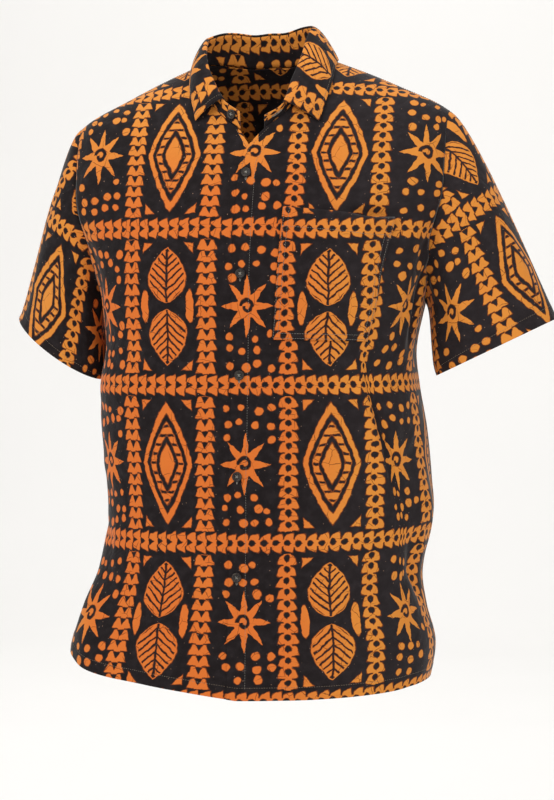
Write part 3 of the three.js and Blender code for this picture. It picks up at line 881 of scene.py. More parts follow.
@dataclass(frozen=True)
class BatikPoplin:
    """Cotton poplin with a print in the manner of wax resist.

    Thin, smooth and matt plain weave. The wax leaves orange shapes with a red-brown rim and
    hairline cracks on a brown-black ground. Sizes are millimetres on the flat cut, and the
    two reliefs metres.
    """

    ground: str = "#191314"
    # Lighter ground, for random blotches and for painted sheen on the wearer's left side
    ground_blotch_and_sheen: str = "#302A2C"
    rim: str = "#6E3418"
    orange: str = "#D8702D"
    # Gold is the orange under painted light, on the sides and towards the shoulders
    gold: str = "#DD8C38"
    crack: str = "#5F2B16"
    speck: str = "#B08C74"
    roughness: float = 0.8
    column: float = 99.5
    row: float = 184.0
    first_column: float = -41.5
    first_row: float = -20.0
    band_half: float = 13.14
    tooth: float = 13.143
    tooth_slant: float = 5.6
    lobes_from: float = -10.0
    dot_pitch: float = 16.8
    dot_radius: float = 4.2
    dot_spread: float = 1.7
    star_room: float = 36.0
    panel_room: tuple[float, float] = (31.5, 73.5)
    star_body: float = 12.5
    star_point: float = 18.5
    star_squeeze: float = 0.84
    leaf_foot: float = 3.5
    leaf_height: float = 67.0
    leaf_half: float = 27.0
    lozenge_half: tuple[float, float] = (34.0, 73.0)
    ring_depth: float = 27.0
    wander: float = 5.6
    crackle: float = 17.0
    speckle: float = 14.0
    # Threads are 0.3 mm apart, which the picture can't show, so the weave is drawn at 1.6 mm
    weave: float = 1.6
    weave_relief: float = 0.00006
    wrinkle_relief: float = 0.005
    specular: float = 0.14
    sheen: float = 0.18
    sheen_roughness: float = 0.35

    def nearest(self, place: Signal, u: float, v: float) -> Signal:
        """Place measured from the nearest of the lattice points that start at (u, v).

        Args:
            place: Place on the cut in millimetres.
            u: One lattice point's place across.
            v: Its place along.

        Returns:
            The vector from that lattice point.
        """
        high = (self.column / 2, self.row / 2, 1)
        low = (-self.column / 2, -self.row / 2, -1)
        return place.vector("ADD", (-u, -v, 0)).vector("WRAP", high, low)

    def from_middle(self, place: Signal) -> Signal:
        """Place measured from the middle of the nearest panel."""
        return self.nearest(place, self.first_column + self.column / 2, self.first_row + self.row / 2)

    def bands(self, place: Signal) -> Signal:
        """The lattice of toothed bands.

        Args:
            place: Place on the cut in millimetres.

        Returns:
            Depth inside the shapes in millimetres, negative outside.
        """
        u, v, _ = place.parts()
        near_u, near_v, _ = self.nearest(place, self.first_column, self.first_row).parts()
        level_band = near_v.size().under(self.band_half)
        across = level_band.chosen(near_u, near_v).size()
        along = level_band.chosen(v - (self.first_row + self.band_half), u * -1.0)
        share = (along * (1 / self.tooth)).math("FRACT")
        lobed = u.over(self.lobes_from)
        half = share.math("POWER", 0.75).math("MULTIPLY_ADD", -self.tooth_slant, self.band_half + 0.9)
        inset = (share - 0.5).size().math("MULTIPLY_ADD", -self.tooth, self.tooth / 2 - 0.25)
        body = (half - across).math("SMOOTH_MIN", inset, lobed.chosen(3.0, 7.0))
        body = body.most((across - 4.6).from_number(0.0))
        wedge = (share.math("MULTIPLY_ADD", 8.0, -3.3) - across).math(
            "SMOOTH_MIN", share.math("MULTIPLY_ADD", -self.tooth, 0.92 * self.tooth), 1.5
        )
        lift = share.math("MULTIPLY_ADD", self.tooth, -0.66 * self.tooth)
        tip = (share.math("MULTIPLY_ADD", 9.0, -3.0) - across).least(share.math("MULTIPLY_ADD", -9.0, 6.0))
        drop = (across * across + lift * lift).math("SQRT").from_number(3.2).most(tip)
        return body.least(lobed.chosen(wedge, drop) * -1.0)

    def dots(self, place: Signal) -> Signal:
        """Loose dots that keep clear of the star and the bands.

        Args:
            place: Place on the cut in millimetres.

        Returns:
            Depth inside the dots in millimetres, negative outside.
        """
        tree = place.tree
        cells = add_node(
            tree,
            "ShaderNodeTexVoronoi",
            {"voronoi_dimensions": "2D"},
            {"Vector": place, "Scale": 1 / self.dot_pitch, "Randomness": 0.5},
        )
        centre = self.from_middle(Signal(tree, cells.outputs["Position"]))
        u, v, _ = centre.parts()
        far = add_node(tree, "ShaderNodeVectorMath", {"operation": "LENGTH"}, {0: centre}).outputs["Value"]
        inside = u.size().under(self.panel_room[0]) * v.size().under(self.panel_room[1])
        clear = Signal(tree, far).over(self.star_room) * inside
        shade = Signal(tree, cells.outputs["Color"]).parts()[0]
        radius = shade.math("MULTIPLY_ADD", self.dot_spread, self.dot_radius)
        depth = radius - Signal(tree, cells.outputs["Distance"]) * self.dot_pitch
        return clear.chosen(-9.0, depth)

    def star(self, u: Signal, v: Signal) -> Signal:
        """A star of eight points round a curl, a little taller than wide.

        Args:
            u: Place across from the middle of the panel.
            v: Place along from the middle.

        Returns:
            Depth inside the star in millimetres, negative outside.
        """
        squeezed = v * self.star_squeeze
        far = (u * u + squeezed * squeezed).math("SQRT")
        angle = squeezed.math("ARCTAN2", u)
        swing = (angle * 4.0).math("SINE").size()
        reach = swing.from_number(1.0).math("POWER", 1.05)
        body = reach.math("MULTIPLY_ADD", self.star_point, self.star_body) - far
        curl = (far - angle.math("MULTIPLY_ADD", 0.7, 5.3)).size() - 1.45
        return body.least(curl)

    def leaves(self, u: Signal, v: Signal) -> Signal:
        """Two upright pointed leaves, foot to foot, with veins, and two slim side leaves.

        Args:
            u: Distance across from the middle of the panel.
            v: Distance along from the middle.

        Returns:
            Depth inside the leaves in millimetres, negative outside.
        """
        share = v.math("MULTIPLY_ADD", 1 / self.leaf_height, -self.leaf_foot / self.leaf_height)
        bow = (share.least(1.0).most(0.0).math("POWER", 0.8) * math.pi).math("SINE")
        half = bow.most(0.0).math("POWER", 0.8) * self.leaf_half
        blade = (half - u).math("MULTIPLY_ADD", 0.8, -1.0)
        inner = u - half.math("ADD", -4.5)
        vein = (v - u * 0.9).wrapped(4.6).size() - 0.9
        midrib = u - 0.9
        blade = blade.least(vein.most(inner)).least(midrib.most(inner))
        side_u, side_v = (u - 29.5) * (1 / 5.4), v * (1 / 20.0)
        side = (side_u * side_u + side_v * side_v).math("SQRT").math("MULTIPLY_ADD", -12.0, 12.0)
        return blade.most(side)

    def lozenge(self, u: Signal, v: Signal) -> Signal:
        """An upright lozenge in three nested rings.

        Args:
            u: Distance across from the middle of the panel.
            v: Distance along from the middle.

        Returns:
            Depth inside the rings in millimetres, negative outside.
        """
        wide, tall = self.lozenge_half
        spread = (u * (1 / wide)).math("POWER", 1.2) + (v * (1 / tall)).math("POWER", 1.2)
        rings = (spread - 0.7).size().math("MULTIPLY_ADD", self.ring_depth, -1.6)
        heart = (spread - 0.33).size().math("MULTIPLY_ADD", self.ring_depth, -1.4)
        between = (spread - 0.5).size().math("MULTIPLY_ADD", self.ring_depth, -2.2)
        bars = (v.wrapped(5.5).size() - 1.0).most(between)
        whole = spread.math("MULTIPLY_ADD", -self.ring_depth, self.ring_depth)
        return whole.least(rings).least(heart).least(bars)

    def shapes(self, place: Signal) -> Signal:
        """The whole print.

        Args:
            place: Place on the cut in millimetres.

        Returns:
            Depth inside the orange shapes in millimetres, negative outside.
        """
        u, v, _ = self.from_middle(place).parts()
        starry = self.star(u, v).most(self.dots(place))
        side_u, side_v = u.size(), v.size()
        whole_u, whole_v, _ = place.parts()
        odd_row = whole_v.odd(self.first_row, self.row)
        odd_column = whole_u.odd(self.first_column, self.column)
        plant = odd_row.chosen(self.leaves(side_u, side_v), self.lozenge(side_u, side_v))
        corner = (side_u + side_v).math("MULTIPLY_ADD", 0.7, -66.0)
        corner = corner.least(side_u.from_number(33.0)).least(side_v.from_number(75.0))
        return odd_column.chosen(starry, plant.most(corner)).most(self.bands(place))

    def colour(self, place: Signal) -> bpy.types.NodeSocket:
        """Dyes for the print, the ground and the cracks of the wax, with painted light on the sides and
        towards the shoulders.

        Args:
            place: Place on the cut in millimetres.

        Returns:
            The colour socket.
        """
        tree, depth = place.tree, self.shapes(place)
        inside, core = depth.smooth(-0.3, 0.3), depth.smooth(0.35, 1.1)
        body = Signal(tree, add_node(tree, "ShaderNodeTexCoord").outputs["Object"])
        x, _, z = body.parts()
        cloud = add_node(tree, "ShaderNodeTexNoise", None, {"Vector": body, "Scale": 14.0, "Detail": 2.0})
        tone = Signal(tree, cloud.outputs["Fac"]).math("MULTIPLY_ADD", 0.7, -0.35)
        # Painted light: the orange turns gold on the wearer's left side, towards the shoulders and at the
        # far right side; random cloud tone is added on top.
        painted_light_and_tone = x.smooth(0.03, 0.15).most(z.smooth(-0.2, -0.05)).most(x.smooth(-0.17, -0.25))
        painted_light_and_tone = (painted_light_and_tone + tone).most(0.0).least(1.0)
        orange = painted_light_and_tone.blended(linear(self.orange), linear(self.gold))
        cracks = add_node(
            tree,
            "ShaderNodeTexVoronoi",
            {"voronoi_dimensions": "2D", "feature": "DISTANCE_TO_EDGE"},
            {"Vector": place, "Scale": 1 / self.crackle, "Randomness": 1.0},
        ).outputs["Distance"]
        patch = add_node(tree, "ShaderNodeTexNoise", None, {"Vector": place, "Scale": 0.045, "Detail": 1.0})
        shown = Signal(tree, patch.outputs["Fac"]).smooth(0.44, 0.58)
        line = (Signal(tree, cracks) * self.crackle).smooth(0.55, 0.15) * shown * 0.75
        orange = line.blended(orange, linear(self.crack))
        blots = add_node(tree, "ShaderNodeTexNoise", None, {"Vector": place, "Scale": 0.09, "Detail": 4.0})
        # Random blotches lighten the ground, and painted sheen lightens it further on the wearer's left
        # side.
        blotches_and_sheen = Signal(tree, blots.outputs["Fac"]).smooth(0.35, 0.8) * 0.5 + x.smooth(0.04, 0.16) * 0.4
        ground = blotches_and_sheen.blended(linear(self.ground), linear(self.ground_blotch_and_sheen))
        grains = add_node(
            tree,
            "ShaderNodeTexVoronoi",
            {"voronoi_dimensions": "2D"},
            {"Vector": place, "Scale": 1 / self.speckle, "Randomness": 1.0},
        ).outputs["Distance"]
        grain = (Signal(tree, grains) * self.speckle).smooth(0.55, 0.3) * shown * 0.8
        ground = grain.blended(ground, linear(self.speck))
        return core.blended(inside.blended(ground, linear(self.rim)), orange)

    def relief(self, cut: Signal) -> bpy.types.NodeSocket:
        """Plain weave and the small wrinkles of washed poplin.

        Args:
            cut: Place on the cut in millimetres.

        Returns:
            The normal socket.
        """
        tree = cut.tree
        u, v, _ = cut.parts()
        turn = 2 * math.pi / self.weave
        threads = (u * turn).math("SINE") * (v * turn).math("SINE")
        weave = add_node(
            tree,
            "ShaderNodeBump",
            None,
            {"Strength": 0.25, "Distance": self.weave_relief, "Height": threads},
        ).outputs[0]
        wrinkles = add_node(
            tree,
            "ShaderNodeTexNoise",
            None,
            {"Vector": cut, "Scale": 0.03, "Detail": 3.0, "Roughness": 0.5, "Distortion": 0.6},
        ).outputs["Fac"]
        return add_node(
            tree,
            "ShaderNodeBump",
            None,
            {"Strength": 0.6, "Distance": self.wrinkle_relief, "Height": wrinkles, "Normal": weave},
        ).outputs[0]

    def material(self, name: str, shift: tuple[float, float], turn: float = 0.0) -> bpy.types.Material:
        """Makes the cloth for one piece of the cut.

        Args:
            name: Name of the material.
            shift: Where the print lies on this piece, in millimetres.
            turn: How far the print is turned on it, in radians.

        Returns:
            The material.
        """
        material, shader = new_material(name, self.roughness)
        tree = material.node_tree
        uv = add_node(tree, "ShaderNodeUVMap", {"uv_map": "Cut"}).outputs[0]
        laid = add_node(
            tree,
            "ShaderNodeMapping",
            None,
            {
                "Vector": uv,
                "Location": (shift[0], shift[1], 0),
                "Rotation": (0, 0, turn),
                "Scale": (1000, 1000, 0),
            },
        )
        cut = Signal(tree, laid.outputs[0])
        wobble = add_node(
            tree, "ShaderNodeTexNoise", None, {"Vector": cut, "Scale": 0.08, "Detail": 3.0, "Roughness": 0.6}
        )
        centred = Signal(tree, wobble.outputs["Color"]).vector("SUBTRACT", (0.5, 0.5, 0.5))
        place = centred.vector("MULTIPLY_ADD", (self.wander, self.wander, 0), cut)
        tree.links.new(self.colour(place), shader.inputs["Base Color"])
        tree.links.new(self.relief(cut), shader.inputs["Normal"])
        shader.inputs["Specular IOR Level"].default_value = self.specular
        shader.inputs["Sheen Weight"].default_value = self.sheen
        shader.inputs["Sheen Roughness"].default_value = self.sheen_roughness
        return material


@dataclass(frozen=True)
class SewingThread:
    """Spun polyester thread, with a soft gloss and a twist too fine to see."""

    colour: str
    roughness: float = 0.6

    def material(self, name: str) -> bpy.types.Material:
        """Makes the thread's material, a little uneven in tone.

        Args:
            name: Name of the material.

        Returns:
            The material.
        """
        material, shader = new_material(name, self.roughness)
        tree = material.node_tree
        body = add_node(tree, "ShaderNodeTexCoord").outputs["Object"]
        noise = add_node(tree, "ShaderNodeTexNoise", None, {"Vector": body, "Scale": 420.0, "Detail": 1.0})
        tone = Signal(tree, noise.outputs["Fac"]).smooth(0.35, 0.6)
        dyed = tone.blended(linear(self.colour, 0.55), linear(self.colour))
        tree.links.new(dyed, shader.inputs["Base Color"])
        return material


@dataclass(frozen=True)
class ButtonResin:
    """Cast polyester resin, turned and tumbled: dark brown with lighter clouds and a soft polish."""

    dark: str = "#1F1B1B"
    light: str = "#463D34"
    roughness: float = 0.4
    specular: float = 0.3

    def material(self, name: str) -> bpy.types.Material:
        """Makes the button's material, with clouds a few millimetres wide.

        Args:
            name: Name of the material.

        Returns:
            The material.
        """
        material, shader = new_material(name, self.roughness)
        shader.inputs["Specular IOR Level"].default_value = self.specular
        tree = material.node_tree
        body = add_node(tree, "ShaderNodeTexCoord").outputs["Object"]
        noise = add_node(
            tree,
            "ShaderNodeTexNoise",
            None,
            {"Vector": body, "Scale": 190.0, "Detail": 3.0, "Distortion": 1.2},
        )
        tone = Signal(tree, noise.outputs["Fac"]).smooth(0.42, 0.68)
        clouded = tone.blended(linear(self.dark), linear(self.light))
        tree.links.new(clouded, shader.inputs["Base Color"])
        fine = add_node(tree, "ShaderNodeTexNoise", None, {"Vector": body, "Scale": 900.0, "Detail": 2.0})
        bump = add_node(
            tree,
            "ShaderNodeBump",
            None,
            {"Strength": 0.2, "Distance": 0.00005, "Height": fine.outputs["Fac"]},
        )
        tree.links.new(bump.outputs[0], shader.inputs["Normal"])
        return material


@dataclass
class StitchLine:
    """Lockstitches along lines that lie on the cloth, made by Geometry Nodes."""

    length: float = 2.1
    pitch: float = 2.9
    width: float = 0.5
    shortest: float = 0.82
    longest: float = 1.08
    seed: int = 7

    def tree(self, material: bpy.types.Material) -> bpy.types.NodeTree:
        """Builds the node tree that turns lines into stitches.

        Args:
            material: The thread.

        Returns:
            The tree, with inputs Pitch, Length and Width in metres.
        """
        tree = bpy.data.node_groups.new("lockstitches", "GeometryNodeTree")
        face = tree.interface
        face.new_socket("Geometry", in_out="INPUT", socket_type="NodeSocketGeometry")
        for name in ("Pitch", "Length", "Width"):
            face.new_socket(name, in_out="INPUT", socket_type="NodeSocketFloat")
        face.new_socket("Geometry", in_out="OUTPUT", socket_type="NodeSocketGeometry")
        given = add_node(tree, "NodeGroupInput").outputs
        curve = add_node(tree, "GeometryNodeMeshToCurve", None, {"Mesh": given["Geometry"]}).outputs[0]
        spots = add_node(
            tree, "GeometryNodeResampleCurve", {"mode": "LENGTH"}, {"Curve": curve, "Length": given["Pitch"]}
        ).outputs[0]
        tangent = add_node(tree, "GeometryNodeInputTangent").outputs[0]
        turn = add_node(
            tree, "FunctionNodeAlignRotationToVector", {"axis": "Z"}, {"Vector": tangent}
        ).outputs[0]
        vary = add_node(
            tree,
            "FunctionNodeRandomValue",
            {"data_type": "FLOAT"},
            {2: self.shortest, 3: self.longest, "Seed": self.seed},
        )
        long = add_node(
            tree, "ShaderNodeMath", {"operation": "MULTIPLY"}, {0: given["Length"], 1: vary.outputs[1]}
        ).outputs[0]
        scale = add_node(
            tree, "ShaderNodeCombineXYZ", None, {0: given["Width"], 1: given["Width"], 2: long}
        ).outputs[0]
        grain = add_node(
            tree, "GeometryNodeMeshUVSphere", None, {"Segments": 6, "Rings": 5, "Radius": 0.5}
        ).outputs[0]
        placed = add_node(
            tree,
            "GeometryNodeInstanceOnPoints",
            None,
            {"Points": spots, "Instance": grain, "Rotation": turn, "Scale": scale},
        ).outputs[0]
        real = add_node(tree, "GeometryNodeRealizeInstances", None, {"Geometry": placed}).outputs[0]
        soft = add_node(tree, "GeometryNodeSetShadeSmooth", None, {"Geometry": real}).outputs[0]
        done = add_node(
            tree, "GeometryNodeSetMaterial", None, {"Geometry": soft, "Material": material}
        ).outputs[0]
        add_node(tree, "NodeGroupOutput", None, {"Geometry": done})
        return tree

    def build(
        self, name: str, lines: Sequence[np.ndarray], material: bpy.types.Material
    ) -> bpy.types.Object:
        """Sews stitches along lines.

        Args:
            name: Name of the piece.
            lines: Points of each line in millimetres.
            material: The thread.

        Returns:
            A plain mesh object of all the stitches.
        """
        places, edges, start = [], [], 0
        for line in lines:
            places.extend((line * MM).tolist())
            edges.extend((start + i, start + i + 1) for i in range(len(line) - 1))
            start += len(line)
        guide_mesh = bpy.data.meshes.new(f"{name}_guide")
        guide_mesh.from_pydata(places, edges, [])
        guide = bpy.data.objects.new(f"{name}_guide", guide_mesh)
        bpy.context.scene.collection.objects.link(guide)
        modifier = guide.modifiers.new("lockstitches", "NODES")
        modifier.node_group = self.tree(material)
        sizes = {"Pitch": self.pitch, "Length": self.length, "Width": self.width}
        for item in modifier.node_group.interface.items_tree:
            if item.item_type == "SOCKET" and item.in_out == "INPUT" and item.name in sizes:
                modifier[item.identifier] = sizes[item.name] * MM
        graph = bpy.context.evaluated_depsgraph_get()
        mesh = bpy.data.meshes.new_from_object(guide.evaluated_get(graph))
        guide.modifiers.clear()
        bpy.data.objects.remove(guide)
        mesh.name = name
        return new_object(name, outward(mesh), material)


@dataclass(frozen=True)
class Finishes:
    """The materials that the pieces share."""

    body: bpy.types.Material
    pocket: bpy.types.Material
    sleeves: dict[Hand, bpy.types.Material]
    stand: bpy.types.Material
    leaf: bpy.types.Material
    thread: bpy.types.Material
    pale_thread: bpy.types.Material
    resin: bpy.types.Material


def dress(obj: bpy.types.Object, slot: str, *nodes: str) -> bpy.types.Object:
    """Lets a piece ride on the shirt and stand for its solids.

    Args:
        obj: The finished piece.
        slot: Not used.
        nodes: Names of the solids that it replaces.

    Returns:
        The same piece.
    """
    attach(obj, BODY_NAME)
    if nodes:
        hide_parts(*nodes)
    LOG.info("%s: %d faces", obj.name, len(obj.data.polygons))
    return obj


@dataclass
class BodyPanels:
    """Two fronts and a back, in one layer of poplin with turned hems."""

    cloth: float = 0.9
    hem_extra: float = 0.5
    hem_width: float = 15.0
    facing_width: float = 20.0
    step: float = 4.6
    near_edge: float = 32.0
    back_shift: float = 97.0
    fold_across: tuple[float, float] = (143.0, 184.0)
    fold_level: tuple[float, float] = (-352.0, -540.0)
    taken_up: float = 22.0

    def rises(self) -> np.ndarray:
        """Rises of the rows, closer together where the hem is stitched.

        Returns:
            From -1 at the hem to 1 on the shoulder seam.
        """
        low = np.array([0, 0.8, 4, 8, 12, self.hem_width - 0.6, self.hem_width + 0.6])
        rest = np.arange(low[-1] + self.step, LOWER_LENGTH, self.step)
        upper = np.linspace(0, 1, 74)
        return np.concatenate([low / LOWER_LENGTH - 1, rest / LOWER_LENGTH - 1, upper])

    def inner_edge(self, hand: Hand, rise: np.ndarray) -> np.ndarray:
        """Distance across of the front's inner edge: placket, then lapel line and neckline.

        Args:
            hand: Which front.
            rise: From the hem (-1) to the shoulder seam (1).

        Returns:
            One distance for each rise.
        """
        lower = FRONT_EDGE.read("rise", hand.value, rise)
        upper = FRONT_NECK.read("rise", hand.value, rise)
        return np.where(rise < 0.5, lower, upper)

    def front(self, hand: Hand) -> Shell:
        """One front panel.

        Args:
            hand: Left or right.

        Returns:
            Its sheet, columns from the inner edge to the side seam.
        """
        rise = self.rises()
        inner = self.inner_edge(hand, rise)
        outer = hand.sign * ARMHOLE.read("rise", "front", rise)
        fold = (self.facing_width - 0.5, self.facing_width + 0.5)
        near = np.array([0, 0.8, 4.5, 9, 14, *fold, 26, self.near_edge])
        far = np.linspace(0, 1, 57)[1:]
        edge = inner[None, :] + hand.sign * near[:, None]
        start = inner + hand.sign * self.near_edge
        across = np.concatenate([edge, mix(start[None, :], outer[None, :], far[:, None])])
        rises = np.broadcast_to(rise[None, :], across.shape)
        points = FORM.point(Side.FRONT, across, rises, FORM.lap(hand, across))
        drawn_back(points, -1, -2, SEAM_GAP / 2)
        points[:, -1] += unit(points[:, -2] - points[:, -1]) * SEAM_GAP
        facing = self.hem_extra * (np.abs(across - inner[None, :]) < self.facing_width)
        thick = np.maximum(self.thickness(rises), self.cloth + facing)
        level = FORM.cut_height(Side.FRONT, across, rises)
        hidden = self.hidden(across, level) if hand is Hand.LEFT else 0.0
        cut = np.stack([across + hidden, level], axis=-1)
        return Shell(points, cut, thick).turned_out(BODY_CORE)

    def hidden(self, across: np.ndarray, level: np.ndarray) -> np.ndarray:
        """Cloth that the sharp fold under the pocket's outer corner takes up.

        Args:
            across: Distance across the cloth from the centre.
            level: Height on the flat cut.

        Returns:
            How much lies hidden between the centre and each place.
        """
        top, foot = self.fold_level
        crest = mix(*self.fold_across, (top - level) / (top - foot))
        window = ease(-690, -560, level) * (1 - ease(-380, -330, level))
        return self.taken_up * ease(crest - 2, crest + 14, across) * window

    def thickness(self, rises: np.ndarray) -> np.ndarray:
        """Cloth thickness by row, more where the hem is turned up."""
        from_hem = (rises + 1) * LOWER_LENGTH
        return self.cloth + self.hem_extra * (from_hem < self.hem_width)

    def back(self) -> Shell:
        """The back panel.

        Returns:
            Its sheet, columns from the right side seam to the left.
        """
        rise = self.rises()
        columns = np.linspace(-SHOULDER_END, SHOULDER_END, 119)
        top = BACK_NECK.read("across", "rise", np.abs(columns))
        outer = ARMHOLE.read("rise", "back", rise)
        across = (columns / SHOULDER_END)[:, None] * outer[None, :]
        rises = np.where(rise[None, :] > 0, rise[None, :] * top[:, None], rise[None, :])
        points = FORM.point(Side.BACK, across, rises)
        drawn_back(points, 0, 1, SEAM_GAP / 2)
        drawn_back(points, -1, -2, SEAM_GAP / 2)
        level = FORM.cut_height(Side.BACK, across, rises)
        cut = np.stack([across + self.back_shift, level], axis=-1)
        thick = np.broadcast_to(self.thickness(rises), across.shape)
        return Shell(points, cut, thick).turned_out(BODY_CORE)

    def stitch_lines(self) -> dict[str, list[np.ndarray]]:
        """Lines of the hem, the placket and the seams, just proud of the cloth.

        Returns:
            Lists of lines, by the name of the piece that they belong to.
        """
        proud = self.cloth / 2 + 0.18
        hem_rise = self.hem_width / LOWER_LENGTH - 1
        lines = []
        for hand in Hand:
            span = hand.sign * np.linspace(-9.0 if hand is Hand.LEFT else 13.0, 279.0, 90)
            hem = FORM.point(Side.FRONT, span, np.full(90, hem_rise), FORM.lap(hand, span) + proud)
            lines.append(hem)
            seam_across = hand.sign * np.linspace(80, 243, 50)
            lines.append(FORM.point(Side.FRONT, seam_across, np.full(50, 0.972), proud))
        span = np.linspace(-279, 279, 180)
        lines.append(FORM.point(Side.BACK, span, np.full(180, hem_rise), proud))
        rise = np.linspace(hem_rise, 0.43, 160)
        across = self.inner_edge(Hand.LEFT, rise) + self.facing_width
        placket = FORM.point(Side.FRONT, across, rise, FORM.lap(Hand.LEFT, across) + proud)
        rise = np.linspace(0.36, 0.5, 30)
        for hand in Hand:
            across = self.inner_edge(hand, rise) + hand.sign * 4.5
            lines.append(FORM.point(Side.FRONT, across, rise, FORM.lap(hand, across) + proud + 0.25))
        return {"body": lines, "placket": [placket]}

    def build(self, finishes: Finishes) -> None:
        """Makes the three panels and their stitching.

        Args:
            finishes: The materials.
        """
        pieces = (
            ("batik_front_left", "front_left", self.front(Hand.LEFT), (0.292, 0.80), 0.211),
            ("batik_front_right", "front_right", self.front(Hand.RIGHT), (0.292, 0.80), 0.197),
            ("batik_back", "back", self.back(), (0.57, 0.80), 0.383),
        )
        for name, node, shell, flat, area in pieces:
            obj = new_object(name, shell.mesh(name), finishes.body)
            dress(obj, "batik_cloth", node)
            rests = ["batik_back"] if node != "back" else []
        lines = self.stitch_lines()
        for place, thread in (("body", finishes.thread), ("placket", finishes.pale_thread)):
            dress(StitchLine().build(f"stitches_{place}", lines[place], thread), "batik_cloth")


SLEEVE_START = Table(
    ("turn", "out", "forward", "up", "pull", "settle", "gap"),
    (
        (0, 0.9, 0, -0.44, 1, 1, 0.6),
        (0.12, 0.92, 0.25, -0.3, 1, 1, 1.1),
        (0.25, 0.93, 0.32, -0.2, 0.9, 0.9, 1.4),
        (0.4, 0.9, 0.2, -0.35, 0.5, 0.6, 1.5),
        (0.5, 0.85, 0, -0.5, 0.35, 0.4, 2),
        (0.6, 0.9, -0.2, -0.35, 0.5, 0.6, 1.5),
        (0.75, 0.93, -0.32, -0.2, 0.9, 0.9, 1.6),
        (0.88, 0.92, -0.25, -0.3, 1, 1, 1.4),
        (1, 0.9, 0, -0.44, 1, 1, 0.6),
    ),
)

# Folds of the sleeves: from one turn and way along to another, half width and height
SLEEVE_CREASES = (
    (0.3, 0.15, 0.2, 0.85, 0.05, -5),
    (0.38, 0.2, 0.38, 0.98, 0.05, -4),
    (0.2, 0.15, 0.1, 0.95, 0.06, 4),
    (0.7, 0.15, 0.8, 0.85, 0.05, -5),
    (0.62, 0.2, 0.64, 0.98, 0.05, 4),
    (0.14, 0.05, 0.07, 0.7, 0.022, 1.6),
    (0.25, 0.05, 0.15, 0.6, 0.02, -1.6),
    (0.33, 0.1, 0.29, 0.9, 0.022, 1.8),
    (0.43, 0.1, 0.33, 0.6, 0.022, 1.7),
    (0.86, 0.05, 0.92, 0.7, 0.022, 1.6),
    (0.75, 0.05, 0.85, 0.6, 0.02, -1.6),
    (0.67, 0.1, 0.71, 0.9, 0.022, 1.8),
    (0.57, 0.1, 0.67, 0.6, 0.022, 1.7),
    (0.02, 0.3, 0.04, 0.95, 0.03, -1.4),
    (0.12, 0.5, 0.16, 0.98, 0.025, -1.5),
)


